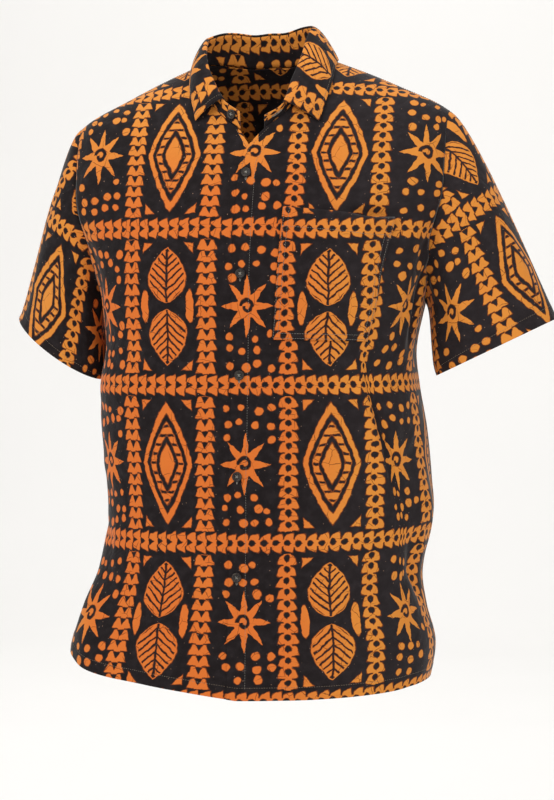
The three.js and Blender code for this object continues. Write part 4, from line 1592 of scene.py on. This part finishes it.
@dataclass
class Sleeve:
    """A short set-in sleeve, a tube from the armhole to the cuff."""

    hand: Hand
    cuff: tuple[float, float, float]
    arm: tuple[float, float, float]
    long: tuple[float, float, float]
    half: tuple[float, float]
    head_pull: float
    cuff_pull: float
    flat: tuple[float, float]
    area: float
    cloth: float = 0.9
    hem_width: float = 20.0
    hem_extra: float = 0.5
    columns: int = 120
    gap_share: float = 0.45
    girth: float = 410.0
    length: float = 235.0
    head: tuple[float, float, float] = (200.0, 0.0, -150.0)

    def armhole(self) -> np.ndarray:
        """Edge of the panels round the arm.

        Returns:
            Points, evenly spaced from the shoulder tip down the front and up the back.
        """
        shares = np.arange(self.columns // 2) / (self.columns // 2)
        halves = []
        for side, rise in ((Side.FRONT, np.linspace(1, 0, 160)), (Side.BACK, np.linspace(0, 1, 160))):
            across = self.hand.sign * ARMHOLE.read("rise", side.value, rise)
            halves.append(points_at(FORM.point(side, across, rise), shares))
        return np.concatenate(halves)

    def rows(self) -> np.ndarray:
        """Shares of the way down the sleeve, closer together where the hem is stitched."""
        hem = 1 - np.array([self.hem_width + 0.7, self.hem_width - 0.7, 16, 11, 6, 1, 0]) / self.length
        return np.concatenate([np.linspace(0, hem[0], 48)[:-1], hem])

    def shell(self) -> Shell:
        """The sleeve as it hangs from the armhole.

        Returns:
            Its sheet, columns round it and rows from the armhole down.
        """
        turn = np.arange(self.columns) / self.columns
        centre, down = np.array(self.cuff, float), unit(np.array(self.arm, float))
        long = np.array(self.long, float)
        long = unit(long - down * (long @ down))
        forward = unit(np.cross(long, down))
        forward = -forward if forward[1] > 0 else forward
        angle = 2 * np.pi * turn[:, None]
        radial = long * self.half[0] * np.cos(angle) + forward * self.half[1] * np.sin(angle)
        end, radial = centre + radial, unit(radial)
        start = {name: SLEEVE_START.read("turn", name, turn) for name in SLEEVE_START.names[1:]}
        way = unit(np.stack([self.hand.sign * start["out"], -start["forward"], start["up"]], axis=-1))
        edge = self.armhole() + way * start["gap"][:, None] * self.gap_share
        t = self.rows()[None, :, None]
        points = edge[:, None] * (1 + 2 * t) * (1 - t) ** 2
        points = points + (way * start["pull"][:, None] * self.head_pull)[:, None] * t * (1 - t) ** 2
        points = points + end[:, None] * t * t * (3 - 2 * t)
        points = points + (down * start["settle"][:, None] * self.cuff_pull)[:, None] * t * t * (t - 1)
        points = points + radial[:, None] * self.creases(turn)[..., None]
        walk = distances(points)
        underarm_first = np.roll(np.arange(self.columns), -self.columns // 2)
        points = points[underarm_first]
        along = (walk[:, -1:] - walk)[underarm_first]
        thick = self.cloth + self.hem_extra * (along < self.hem_width)
        along = np.concatenate([along, along[:1]])
        across = (np.arange(self.columns + 1) / self.columns - 0.5) * -self.hand.sign * self.girth
        across = np.repeat(across[:, None], along.shape[1], axis=1)
        return Shell(points, np.stack([across, along], axis=-1), thick, True)

    def creases(self, turn: np.ndarray) -> np.ndarray:
        """How far the cloth stands out.

        Args:
            turn: Shares of a full turn round the sleeve, from the shoulder tip.

        Returns:
            One height for each turn and row.
        """
        along = self.rows()
        height = np.zeros((len(turn), len(along)))
        for from_turn, from_along, to_turn, to_along, width, tall in SLEEVE_CREASES:
            way = np.clip((along - from_along) / (to_along - from_along), 0, 1)
            aside = (turn[:, None] - mix(from_turn, to_turn, way)[None, :]) / width
            height += tall * np.sin(np.pi * way)[None, :] * np.exp(-(aside**2))
        return height

    def build(self, finishes: Finishes) -> None:
        """Makes the sleeve and the stitching of its hem.

        Args:
            finishes: The materials.
        """
        side = self.hand.value
        shell = self.shell()
        row = int(np.searchsorted(self.rows(), 1 - self.hem_width / self.length))
        head = np.array(self.head) * np.array([self.hand.sign, 1, 1])
        middle = np.linspace(head, np.array(self.cuff), shell.points.shape[1])
        turned = shell.turned_out(middle[None, :, :])
        name = f"batik_sleeve_{side}"
        obj = new_object(name, turned.mesh(name), finishes.sleeves[self.hand])
        dress(obj, "batik_cloth", f"sleeve_{side}")
        line = turned.surface(0.0)[:, row]
        line = np.concatenate([line, line[:1]])
        dress(StitchLine().build(f"stitches_cuff_{side}", [line], finishes.thread), "batik_cloth")


# Collar band, by share of the half neckline from the centre back (0) to its end (1)
BAND = Table(
    ("share", "leftUp", "leftLean", "rightUp", "rightLean"),
    (
        (0, 38, 8, 38, 8),
        (0.25, 38, 12, 36, 10),
        (0.4, 34, 17, 29, 9),
        (0.6, 28, 14, 26, 5),
        (0.8, 24, 7, 24, 2),
        (0.9, 13, -5, 20, -2),
        (1, 15, -5, 20, -2),
    ),
)

# Outer edge of the leaf on the panels: distance from the centre, and how far up the front
# (0 to 1) and on over the shoulder down the back (1 to 2) it lies
LEAF_EDGE = Table(
    ("share", "left", "leftOver", "right", "rightOver"),
    (
        (0, 0, 1.3, 0, 1.3),
        (0.2, 48, 1.26, 48, 1.26),
        (0.34, 80, 1.16, 76, 1.16),
        (0.43, 90, 1, 84, 1),
        (0.55, 91, 0.86, 84, 0.87),
        (0.7, 90, 0.72, 80, 0.73),
        (0.9, 81, 0.545, 67, 0.56),
    ),
)
UP = np.array([0.0, 0.0, 1.0])


@dataclass
class Collar:
    """A standing band round the neck and the leaf that folds down from it."""

    band_cloth: float = 1.3
    leaf_cloth: float = 1.2
    band_clear: float = 1.5
    band_curl: float = 1.3
    neck_centre: tuple[float, float] = (0.0, -12.0)
    leaf_end: float = 0.9
    leaf_start: float = 1.3
    roll: float = 7.0
    belly: float = 7.0
    clear: float = 3.4
    edge_stitch: float = 5.0
    half_length: float = 240.0
    band_height: float = 34.0

    def neck(self, hand: Hand, share: np.ndarray) -> np.ndarray:
        """Points of half the neckline.

        Args:
            hand: Which half.
            share: From the centre back (0) to the front end (1).

        Returns:
            One point for each share.
        """
        across = np.linspace(0, NECK_POINT, 120)
        behind = FORM.point(Side.BACK, hand.sign * across, BACK_NECK.read("across", "rise", across))
        rise = np.linspace(1, 0.5, 160)
        ahead = FORM.point(Side.FRONT, FRONT_NECK.read("rise", hand.value, rise), rise)
        return points_at(np.concatenate([behind, ahead[1:]]), share)

    def towards_neck(self, points: np.ndarray) -> np.ndarray:
        """Level directions towards the middle of the neck.

        Args:
            points: Where they start.

        Returns:
            One direction of length 1 for each point.
        """
        way = np.zeros(points.shape)
        way[..., 0] = self.neck_centre[0] - points[..., 0]
        way[..., 1] = self.neck_centre[1] - points[..., 1]
        return unit(way)

    def band(self, run: np.ndarray, up: np.ndarray) -> np.ndarray:
        """Points of the band.

        Args:
            run: -1 at its right end, 0 at the back and 1 at its left end.
            up: 0 at the neckline and 1 at the top.

        Returns:
            One point for each pair.
        """
        run, up = np.broadcast_arrays(np.asarray(run, float), np.asarray(up, float))
        out = np.zeros((*run.shape, 3))
        for hand in Hand:
            mine = (run >= 0) if hand is Hand.LEFT else (run < 0)
            share, high = np.abs(run[mine]), up[mine]
            point = self.neck(hand, share)
            inward = self.towards_neck(point)
            tall = BAND.read("share", f"{hand.value}Up", share)
            lean = BAND.read("share", f"{hand.value}Lean", share)
            point = point + UP * (self.band_clear + high * tall)[:, None]
            out[mine] = point + inward * (high**self.band_curl * lean)[:, None]
        return out

    def stand(self) -> Shell:
        """The band as it stands round the neck.

        Returns:
            Its sheet, columns from its right end to its left one.
        """
        run, up = np.linspace(-1, 1, 150)[:, None], np.linspace(0, 1, 9)[None, :]
        points = self.band(run, up)
        places = (run * self.half_length, (up - 0.5) * self.band_height)
        cut = np.stack(np.broadcast_arrays(*places), axis=-1)
        thick = np.full(points.shape[:2], self.band_cloth)
        inside = points.mean(axis=1, keepdims=True)
        inside[..., :2] = self.neck_centre
        return Shell(points, cut, thick).turned_out(inside)

    def leaf(self) -> Shell:
        """The leaf, which rises from the band, rolls over and lies on the panels.

        Returns:
            Its sheet, columns from the right point to the left one.
        """
        run = np.linspace(-self.leaf_end, self.leaf_end, 170)
        share = np.abs(run)
        start = self.band(run, np.ones(run.shape)) + UP * self.leaf_start
        left = run >= 0
        read = {name: LEAF_EDGE.read("share", name, share) for name in LEAF_EDGE.names[1:]}
        across = np.where(left, read["left"], -read["right"])
        over = np.where(left, read["leftOver"], read["rightOver"])
        ahead = FORM.point(Side.FRONT, across, np.minimum(over, 1), self.clear)
        behind = FORM.point(Side.BACK, across, np.minimum(2 - over, 1), self.clear)
        end = np.where((over <= 1)[:, None], ahead, behind)
        away = -self.towards_neck(start)
        rolled = start + UP * self.roll + away * self.roll / 4
        belly = mix(start, end, 0.55) + away * self.belly + UP * self.belly / 2
        t = np.concatenate([np.linspace(0, 0.915, 27), [0.94, 0.965, 0.985, 1]])[None, :, None]
        points = (
            start[:, None] * (1 - t) ** 3
            + 3 * rolled[:, None] * t * (1 - t) ** 2
            + 3 * belly[:, None] * t * t * (1 - t)
            + end[:, None] * t**3
        )
        walk = distances(points)
        from_edge = walk[:, -1:] - walk
        round_neck = np.broadcast_to((run * self.half_length)[:, None], from_edge.shape)
        cut = np.stack([round_neck, from_edge], axis=-1)
        thick = self.leaf_cloth - 0.35 * (from_edge < 1.2)
        return Shell(points, cut, thick).turned_out(np.array([*self.neck_centre, -60.0]))

    def stitch_lines(self, leaf: Shell) -> list[np.ndarray]:
        """Edge stitching of the leaf, along its outer edge and both points.

        Args:
            leaf: The finished leaf.

        Returns:
            Three lines.
        """
        surface = leaf.surface(0.15)
        row = int(np.argmin(np.abs(leaf.cut[len(leaf.cut) // 2, :, 1] - self.edge_stitch)))
        return [surface[2:-2, row], surface[2, 3 : row + 1], surface[-3, 3 : row + 1]]

    def build(self, finishes: Finishes) -> None:
        """Makes the band, the leaf and the leaf's edge stitching.

        Args:
            finishes: The materials.
        """
        stand, leaf = self.stand(), self.leaf()
        obj = new_object("batik_collar_stand", stand.mesh("batik_collar_stand"), finishes.stand)
        dress(obj, "batik_cloth", "collar_stand")
        obj = new_object("batik_collar_leaf", leaf.mesh("batik_collar_leaf"), finishes.leaf)
        dress(obj, "batik_cloth", "collar_leaf")
        sewn = StitchLine().build("stitches_collar", self.stitch_lines(leaf), finishes.thread)
        dress(sewn, "batik_cloth")


@dataclass
class ChestPocket:
    """A patch pocket on the left front, open and hemmed at the top."""

    top_inner: tuple[float, float] = (46.0, -181.0)
    top_outer: tuple[float, float] = (176.0, -192.0)
    bottom_inner: tuple[float, float] = (38.0, -335.0)
    bottom_outer: tuple[float, float] = (154.0, -337.0)
    cloth: float = 0.9
    lift: float = 1.5
    gape: float = 8.0
    gape_at: float = 0.76
    sag: float = 4.5
    hem_width: float = 22.0
    hem_extra: float = 0.6
    wide: float = 130.0
    tall: float = 150.0
    seam_insets: tuple[float, float] = (2.0, 7.5)

    def place(self, u: np.ndarray, v: np.ndarray) -> tuple[np.ndarray, np.ndarray]:
        """Distance across and level of points of the patch.

        Args:
            u: 0 at its inner side and 1 at its outer side.
            v: 0 at the bottom and 1 at the top.

        Returns:
            Distances across and levels.
        """
        parts = []
        for k in (0, 1):
            low = mix(self.bottom_inner[k], self.bottom_outer[k], u)
            high = mix(self.top_inner[k], self.top_outer[k], u)
            parts.append(mix(low, high, v))
        sag = self.sag * ease(0.7, 1, v) * np.exp(-(((u - self.gape_at) / 0.16) ** 2))
        return parts[0], parts[1] - sag

    def points(self, u: np.ndarray, v: np.ndarray, out: float = 0.0) -> np.ndarray:
        """Points of the patch, moved out from the front panel.

        Args:
            u: 0 at its inner side and 1 at its outer side.
            v: 0 at the bottom and 1 at the top.
            out: How far they stand off the patch.

        Returns:
            One point for each pair.
        """
        across, level = self.place(u, v)
        opened = ease(0.6, 1, v) * (1.5 + self.gape * np.exp(-(((u - self.gape_at) / 0.2) ** 2)))
        rise = FORM.rise_at(Side.FRONT, across, level)
        return FORM.point(Side.FRONT, across, rise, FORM.lap(Hand.LEFT, across) + self.lift + opened + out)

    def build(self, finishes: Finishes) -> None:
        """Makes the patch and its stitching, in two rows round it and one at its hem.

        Args:
            finishes: The materials.
        """
        steps = np.linspace(0, 1, 35)
        hem = 1 - self.hem_width / self.tall
        rows = np.concatenate([np.linspace(0, hem - 0.004, 30), np.linspace(hem + 0.004, 1, 7)])
        u, v = np.meshgrid(steps, rows, indexing="ij")
        across, level = self.place(u, v)
        thick = self.cloth + self.hem_extra * (v > hem)
        shell = Shell(self.points(u, v), np.stack([across, level], axis=-1), thick)
        shell = shell.turned_out(np.array([0, 0, -260.0]))
        obj = new_object("batik_pocket", shell.mesh("batik_pocket"), finishes.pocket)
        dress(obj, "batik_cloth", "pocket")
        lines = []
        for inset in self.seam_insets:
            a, b = inset / self.wide, inset / self.tall
            run = np.linspace(0, 1, 40)
            corner_u = np.concatenate([np.full(40, a), mix(a, 1 - a, run), np.full(40, 1 - a)])
            corner_v = np.concatenate([mix(0.985, b, run), np.full(40, b), mix(b, 0.985, run)])
            lines.append(self.points(corner_u, corner_v, self.cloth / 2 + 0.2))
        run = np.linspace(0.02, 0.98, 60)
        lines.append(self.points(run, np.full(60, hem), self.cloth / 2 + 0.25))
        sewn = StitchLine(length=2.5).build("stitches_pocket", lines, finishes.pale_thread)
        dress(sewn, "batik_cloth")


@dataclass
class Buttons:
    """Five buttons down the front and one on the collar band, with thread and buttonholes."""

    radius: float = 5.75
    height: float = 2.4
    rim: float = 1.5
    dish: float = 0.6
    hole: float = 0.8
    spread: float = 1.5
    count: int = 5
    top_level: float = -141.0
    pitch: float = 117.7
    seat: float = 3.3
    stand_seat: float = 1.3
    thread: float = 0.2
    slit: float = 14.0
    slit_half: float = 0.85
    slit_thread: float = 0.42
    slit_drop: float = 1.6
    stand_slit_at: tuple[float, float] = (0.93, 0.55)
    stand_slit_thread: float = 0.4

    def disc(self) -> bpy.types.Mesh:
        """A dished disc with four holes.

        Returns:
            Its mesh, with the back on z = 0.
        """
        r, h, lip, d = self.radius, self.height, self.rim, self.dish
        profile = [(0, 0), (r - 0.6, 0), (r - 0.25, 0.12), (r, 0.6), (r, h - 0.75), (r - 0.12, h - 0.3)]
        profile += [(r - 0.4, h - 0.06), (r - 0.75, h), (r - lip + 0.2, h - 0.04), (r - lip - 0.2, h - 0.3)]
        profile += [(r - lip - 0.7, h - d + 0.06), (r - lip - 1.3, h - d), (0, h - d)]
        work = bmesh.new()
        chain = [work.verts.new((x * MM, 0, z * MM)) for x, z in profile]
        edges = [work.edges.new(pair) for pair in zip(chain, chain[1:])]
        bmesh.ops.spin(
            work, geom=chain + edges, cent=(0, 0, 0), axis=(0, 0, 1), angle=2 * math.pi, steps=48
        )
        disc = bpy.data.meshes.new("disc")
        work.to_mesh(disc)
        work.free()
        outward(disc)
        drill = bmesh.new()
        for x in (-1, 1):
            for y in (-1, 1):
                at = Matrix.Translation((x * self.spread * MM, y * self.spread * MM, h / 2 * MM))
                bmesh.ops.create_cone(
                    drill,
                    cap_ends=True,
                    segments=16,
                    radius1=self.hole * MM,
                    radius2=self.hole * MM,
                    depth=3 * h * MM,
                    matrix=at,
                )
        drills = bpy.data.meshes.new("drills")
        drill.to_mesh(drills)
        drill.free()
        blank = bpy.data.objects.new("blank", disc)
        tool = bpy.data.objects.new("tool", drills)
        for obj in (blank, tool):
            bpy.context.scene.collection.objects.link(obj)
        cutter = blank.modifiers.new("holes", "BOOLEAN")
        cutter.operation, cutter.object, cutter.solver = "DIFFERENCE", tool, "EXACT"
        graph = bpy.context.evaluated_depsgraph_get()
        mesh = bpy.data.meshes.new_from_object(blank.evaluated_get(graph))
        bpy.data.objects.remove(blank)
        bpy.data.objects.remove(tool)
        return mesh

    def seats(self, collar: Collar) -> list[tuple[str, np.ndarray, np.ndarray]]:
        """Where the buttons sit.

        Args:
            collar: The collar, whose band carries the highest button.

        Returns:
            Node name, place of the back and direction of the face for each button.
        """
        found = []
        for i in range(self.count):
            rise = FORM.rise_at(Side.FRONT, 0.0, self.top_level - i * self.pitch)
            at = FORM.point(Side.FRONT, 0.0, rise, self.seat)
            ahead = FORM.point(Side.FRONT, 0.0, rise, self.seat + 1) - at
            found.append((f"button_{i + 1}", at, unit(ahead)))
        at, normal = self.on_band(collar, -0.95)
        found.append(("button_stand", at + normal * self.stand_seat, normal))
        return found

    def on_band(self, collar: Collar, run: float) -> tuple[np.ndarray, np.ndarray]:
        """Place and outward direction on the band, a little above its middle.

        Args:
            collar: The collar that the band belongs to.
            run: -1 at the band's right end and 1 at its left end.

        Returns:
            The point and the direction.
        """
        run, up = np.array([run, run + 0.02, run]), np.array([0.55, 0.55, 0.6])
        here, aside, above = collar.band(run, up)
        normal = unit(np.cross(aside - here, above - here))
        return here, -normal if normal[1] > 0 else normal

    def thread_loops(self) -> list[np.ndarray]:
        """Closed loops of thread through the holes, crossed over the middle.

        Returns:
            The points of each loop, for a button whose back is on z = 0.
        """
        loops, top = [], self.height - self.dish + 0.25
        angle = np.linspace(0, 2 * np.pi, 20, endpoint=False)
        reach = self.spread * math.sqrt(2) + 0.1
        x = reach * np.sign(np.cos(angle)) * np.abs(np.cos(angle)) ** 0.5
        for order, turn in enumerate((math.pi / 4, -math.pi / 4)):
            sine, cosine = math.sin(turn), math.cos(turn)
            z = mix(-0.5, top + 0.3 * order, (np.sin(angle) + 1) / 2)
            for y in (-0.34, 0.0, 0.34):
                loops.append(np.stack([x * cosine - y * sine, x * sine + y * cosine, z], axis=-1))
        return loops

    def slits(self, collar: Collar) -> list[tuple[np.ndarray, float]]:
        """Closed lines round the buttonholes of the placket and of the band's left end.

        Args:
            collar: The collar, whose band has the highest one.

        Returns:
            The points and half thickness of each.
        """
        angle = np.linspace(0, 2 * np.pi, 48, endpoint=False)
        along = self.slit / 2 * np.sign(np.cos(angle)) * np.abs(np.cos(angle)) ** 0.6
        across = self.slit_half * np.sin(angle)
        found = []
        for i in range(self.count):
            level = self.top_level - i * self.pitch - self.slit_drop
            rise = FORM.rise_at(Side.FRONT, across, level + along)
            path = FORM.point(Side.FRONT, across, rise, FORM.lap_rise + 0.85)
            found.append((path, self.slit_thread))
        run, up = self.stand_slit_at
        _, normal = self.on_band(collar, run)
        path = collar.band(run + along / collar.half_length, up + across / 15.0) + normal * 0.8
        return [*found, (path, self.stand_slit_thread)]

    def build(self, finishes: Finishes, collar: Collar) -> None:
        """Makes the buttons, their thread and the buttonholes.

        Args:
            finishes: The materials.
            collar: The collar, whose band carries the highest button.
        """
        disc, loops = self.disc(), []
        for node, at, normal in self.seats(collar):
            turn = Vector((0, 0, 1)).rotation_difference(Vector(normal)).to_matrix()
            mesh = disc.copy()
            mesh.transform(Matrix.Translation(Vector(at * MM)) @ turn.to_4x4())
            mesh.shade_smooth()
            mesh.set_sharp_from_angle(angle=math.radians(50))
            dress(new_object(f"resin_{node}", mesh, finishes.resin), "button_brown", node)
            loops += [(loop @ np.array(turn).T + at, self.thread) for loop in self.thread_loops()]
        places, faces, start = [], [], 0
        for path, radius in loops + self.slits(collar):
            more, corners = tube(path, radius)
            places.append(more)
            faces.extend(tuple(start + k for k in face) for face in corners)
            start += len(more)
        mesh = bpy.data.meshes.new("button_threads")
        mesh.from_pydata((np.concatenate(places) * MM).tolist(), [], faces)
        outward(mesh)
        mesh.shade_smooth()
        dress(new_object("button_threads", mesh, finishes.pale_thread), "batik_cloth")


@dataclass
class Studio:
    """A pale sweep, soft light and the camera at the photograph's angle."""

    floor_level: float = -1.4
    wall: float = 7.5
    bend: float = 2.2
    pale: str = "#F6F5F3"
    sky_strength: float = 0.62
    azimuth: float = 10.0
    distance: float = 3.0
    eye_level: float = -0.325
    aim_aside: float = 0.016
    tilt: float = 1.6
    lens: float = 111.0

    def sweep(self) -> None:
        """The floor, curved up into a backdrop behind the shirt."""
        angle = np.linspace(0, math.pi / 2, 24)
        line = [(-9.0, self.floor_level)]
        for a in angle:
            y = self.wall - self.bend + self.bend * math.sin(a)
            line.append((y, self.floor_level + self.bend * (1 - math.cos(a))))
        line.append((self.wall, 7.0))
        places = [(x, y, z) for x in (-9.0, 9.0) for y, z in line]
        count = len(line)
        faces = [(i, i + count, i + count + 1, i + 1) for i in range(count - 1)]
        mesh = bpy.data.meshes.new("sweep")
        mesh.from_pydata(places, [], faces)
        mesh.shade_smooth()
        material, shader = new_material("matt paper sweep", 0.9)
        tree = material.node_tree
        body = add_node(tree, "ShaderNodeTexCoord").outputs["Object"]
        noise = add_node(tree, "ShaderNodeTexNoise", None, {"Vector": body, "Scale": 1.5})
        tone = Signal(tree, noise.outputs["Fac"])
        paper = tone.blended(linear(self.pale, 0.97), linear(self.pale))
        tree.links.new(paper, shader.inputs["Base Color"])
        new_object("paper_sweep", mesh, material)

    def light(self) -> None:
        """An even pale sky, three large soft lamps and one for the backdrop."""
        scene = bpy.context.scene
        world = bpy.data.worlds.new("studio")
        world.use_nodes = True
        sky = world.node_tree.nodes["Background"].inputs
        sky["Color"].default_value = (1.0, 0.99, 0.98, 1.0)
        sky["Strength"].default_value = self.sky_strength
        scene.world = world
        scene.view_settings.view_transform = "Standard"
        lamps = (
            ("key", (-1.9, -2.5, 1.7), 1.7, 50.0, (0, 0, -0.35)),
            ("fill", (2.3, -2.4, 0.5), 2.4, 20.0, (0, 0, -0.35)),
            ("top", (0.2, 0.4, 2.4), 2.2, 30.0, (0, 0, -0.35)),
            ("backdrop", (-0.7, 3.0, 3.4), 3.0, 108.0, (-1.3, 7.5, -0.6)),
        )
        for name, place, size, power, target in lamps:
            data = bpy.data.lights.new(name, "AREA")
            data.shape, data.size, data.energy = "SQUARE", size, power
            lamp = bpy.data.objects.new(name, data)
            scene.collection.objects.link(lamp)
            lamp.location = place
            aim = Vector(target) - Vector(place)
            lamp.rotation_euler = aim.to_track_quat("-Z", "Y").to_euler()

    def camera(self) -> None:
        """The camera, a little to the wearer's left and level with the chest."""
        turn = math.radians(self.azimuth)
        right = Vector((math.cos(turn), math.sin(turn), 0))
        ahead = Vector((-math.sin(turn), math.cos(turn), 0))
        yaw = math.atan2(self.aim_aside, self.distance)
        aim = ahead * math.cos(yaw) + right * math.sin(yaw)
        drop = math.radians(self.tilt)
        aim = aim * math.cos(drop) - Vector((0, 0, 1)) * math.sin(drop)
        data = bpy.data.cameras.new("camera")
        data.lens, data.sensor_width, data.sensor_fit = self.lens, 36.0, "AUTO"
        eye = bpy.data.objects.new("camera", data)
        bpy.context.scene.collection.objects.link(eye)
        eye.location = -ahead * self.distance + Vector((0, 0, self.eye_level))
        eye.rotation_euler = aim.to_track_quat("-Z", "Y").to_euler()
        bpy.context.scene.camera = eye

    def build(self) -> None:
        """Makes the sweep, the lamps and the camera."""
        self.sweep()
        self.light()
        self.camera()


def make_finishes() -> Finishes:
    """Makes each material once.

    Returns:
        All the materials.
    """
    batik = BatikPoplin()
    return Finishes(
        body=batik.material("batik poplin", (0, 0)),
        pocket=batik.material("batik poplin, pocket", (6, 3)),
        sleeves={
            Hand.LEFT: batik.material("batik poplin, left sleeve", (-60, -184), -0.087),
            Hand.RIGHT: batik.material("batik poplin, right sleeve", (5, -168)),
        },
        stand=batik.material("batik poplin, collar band", (0, -30)),
        leaf=batik.material("batik poplin, collar leaf", (-47.5, 72)),
        thread=SewingThread("#8A7A66").material("spun thread"),
        pale_thread=SewingThread("#8F8B82").material("pale spun thread"),
        resin=ButtonResin().material("polyester resin"),
    )


def main() -> None:
    """Builds the shirt's pieces in order."""
    logging.basicConfig(level=logging.INFO, format="%(message)s")
    Studio().build()
    finishes = make_finishes()
    BodyPanels().build(finishes)
    Sleeve(
        hand=Hand.LEFT,
        cuff=(283, -2, -344),
        arm=(0.43, 0.03, -0.9),
        long=(0.9, 0, 0.43),
        half=(79, 50),
        head_pull=95,
        cuff_pull=170,
        flat=(0.42, 0.25),
        area=0.068,
    ).build(finishes)
    Sleeve(
        hand=Hand.RIGHT,
        cuff=(-260, 34, -344),
        arm=(-0.5, 0.16, -0.85),
        long=(-0.66, 0.54, 0.52),
        half=(78, 50),
        head_pull=85,
        cuff_pull=150,
        flat=(0.42, 0.22),
        area=0.056,
    ).build(finishes)
    collar = Collar()
    collar.build(finishes)
    ChestPocket().build(finishes)
    Buttons().build(finishes, collar)


if __name__ == "__main__":
    main()
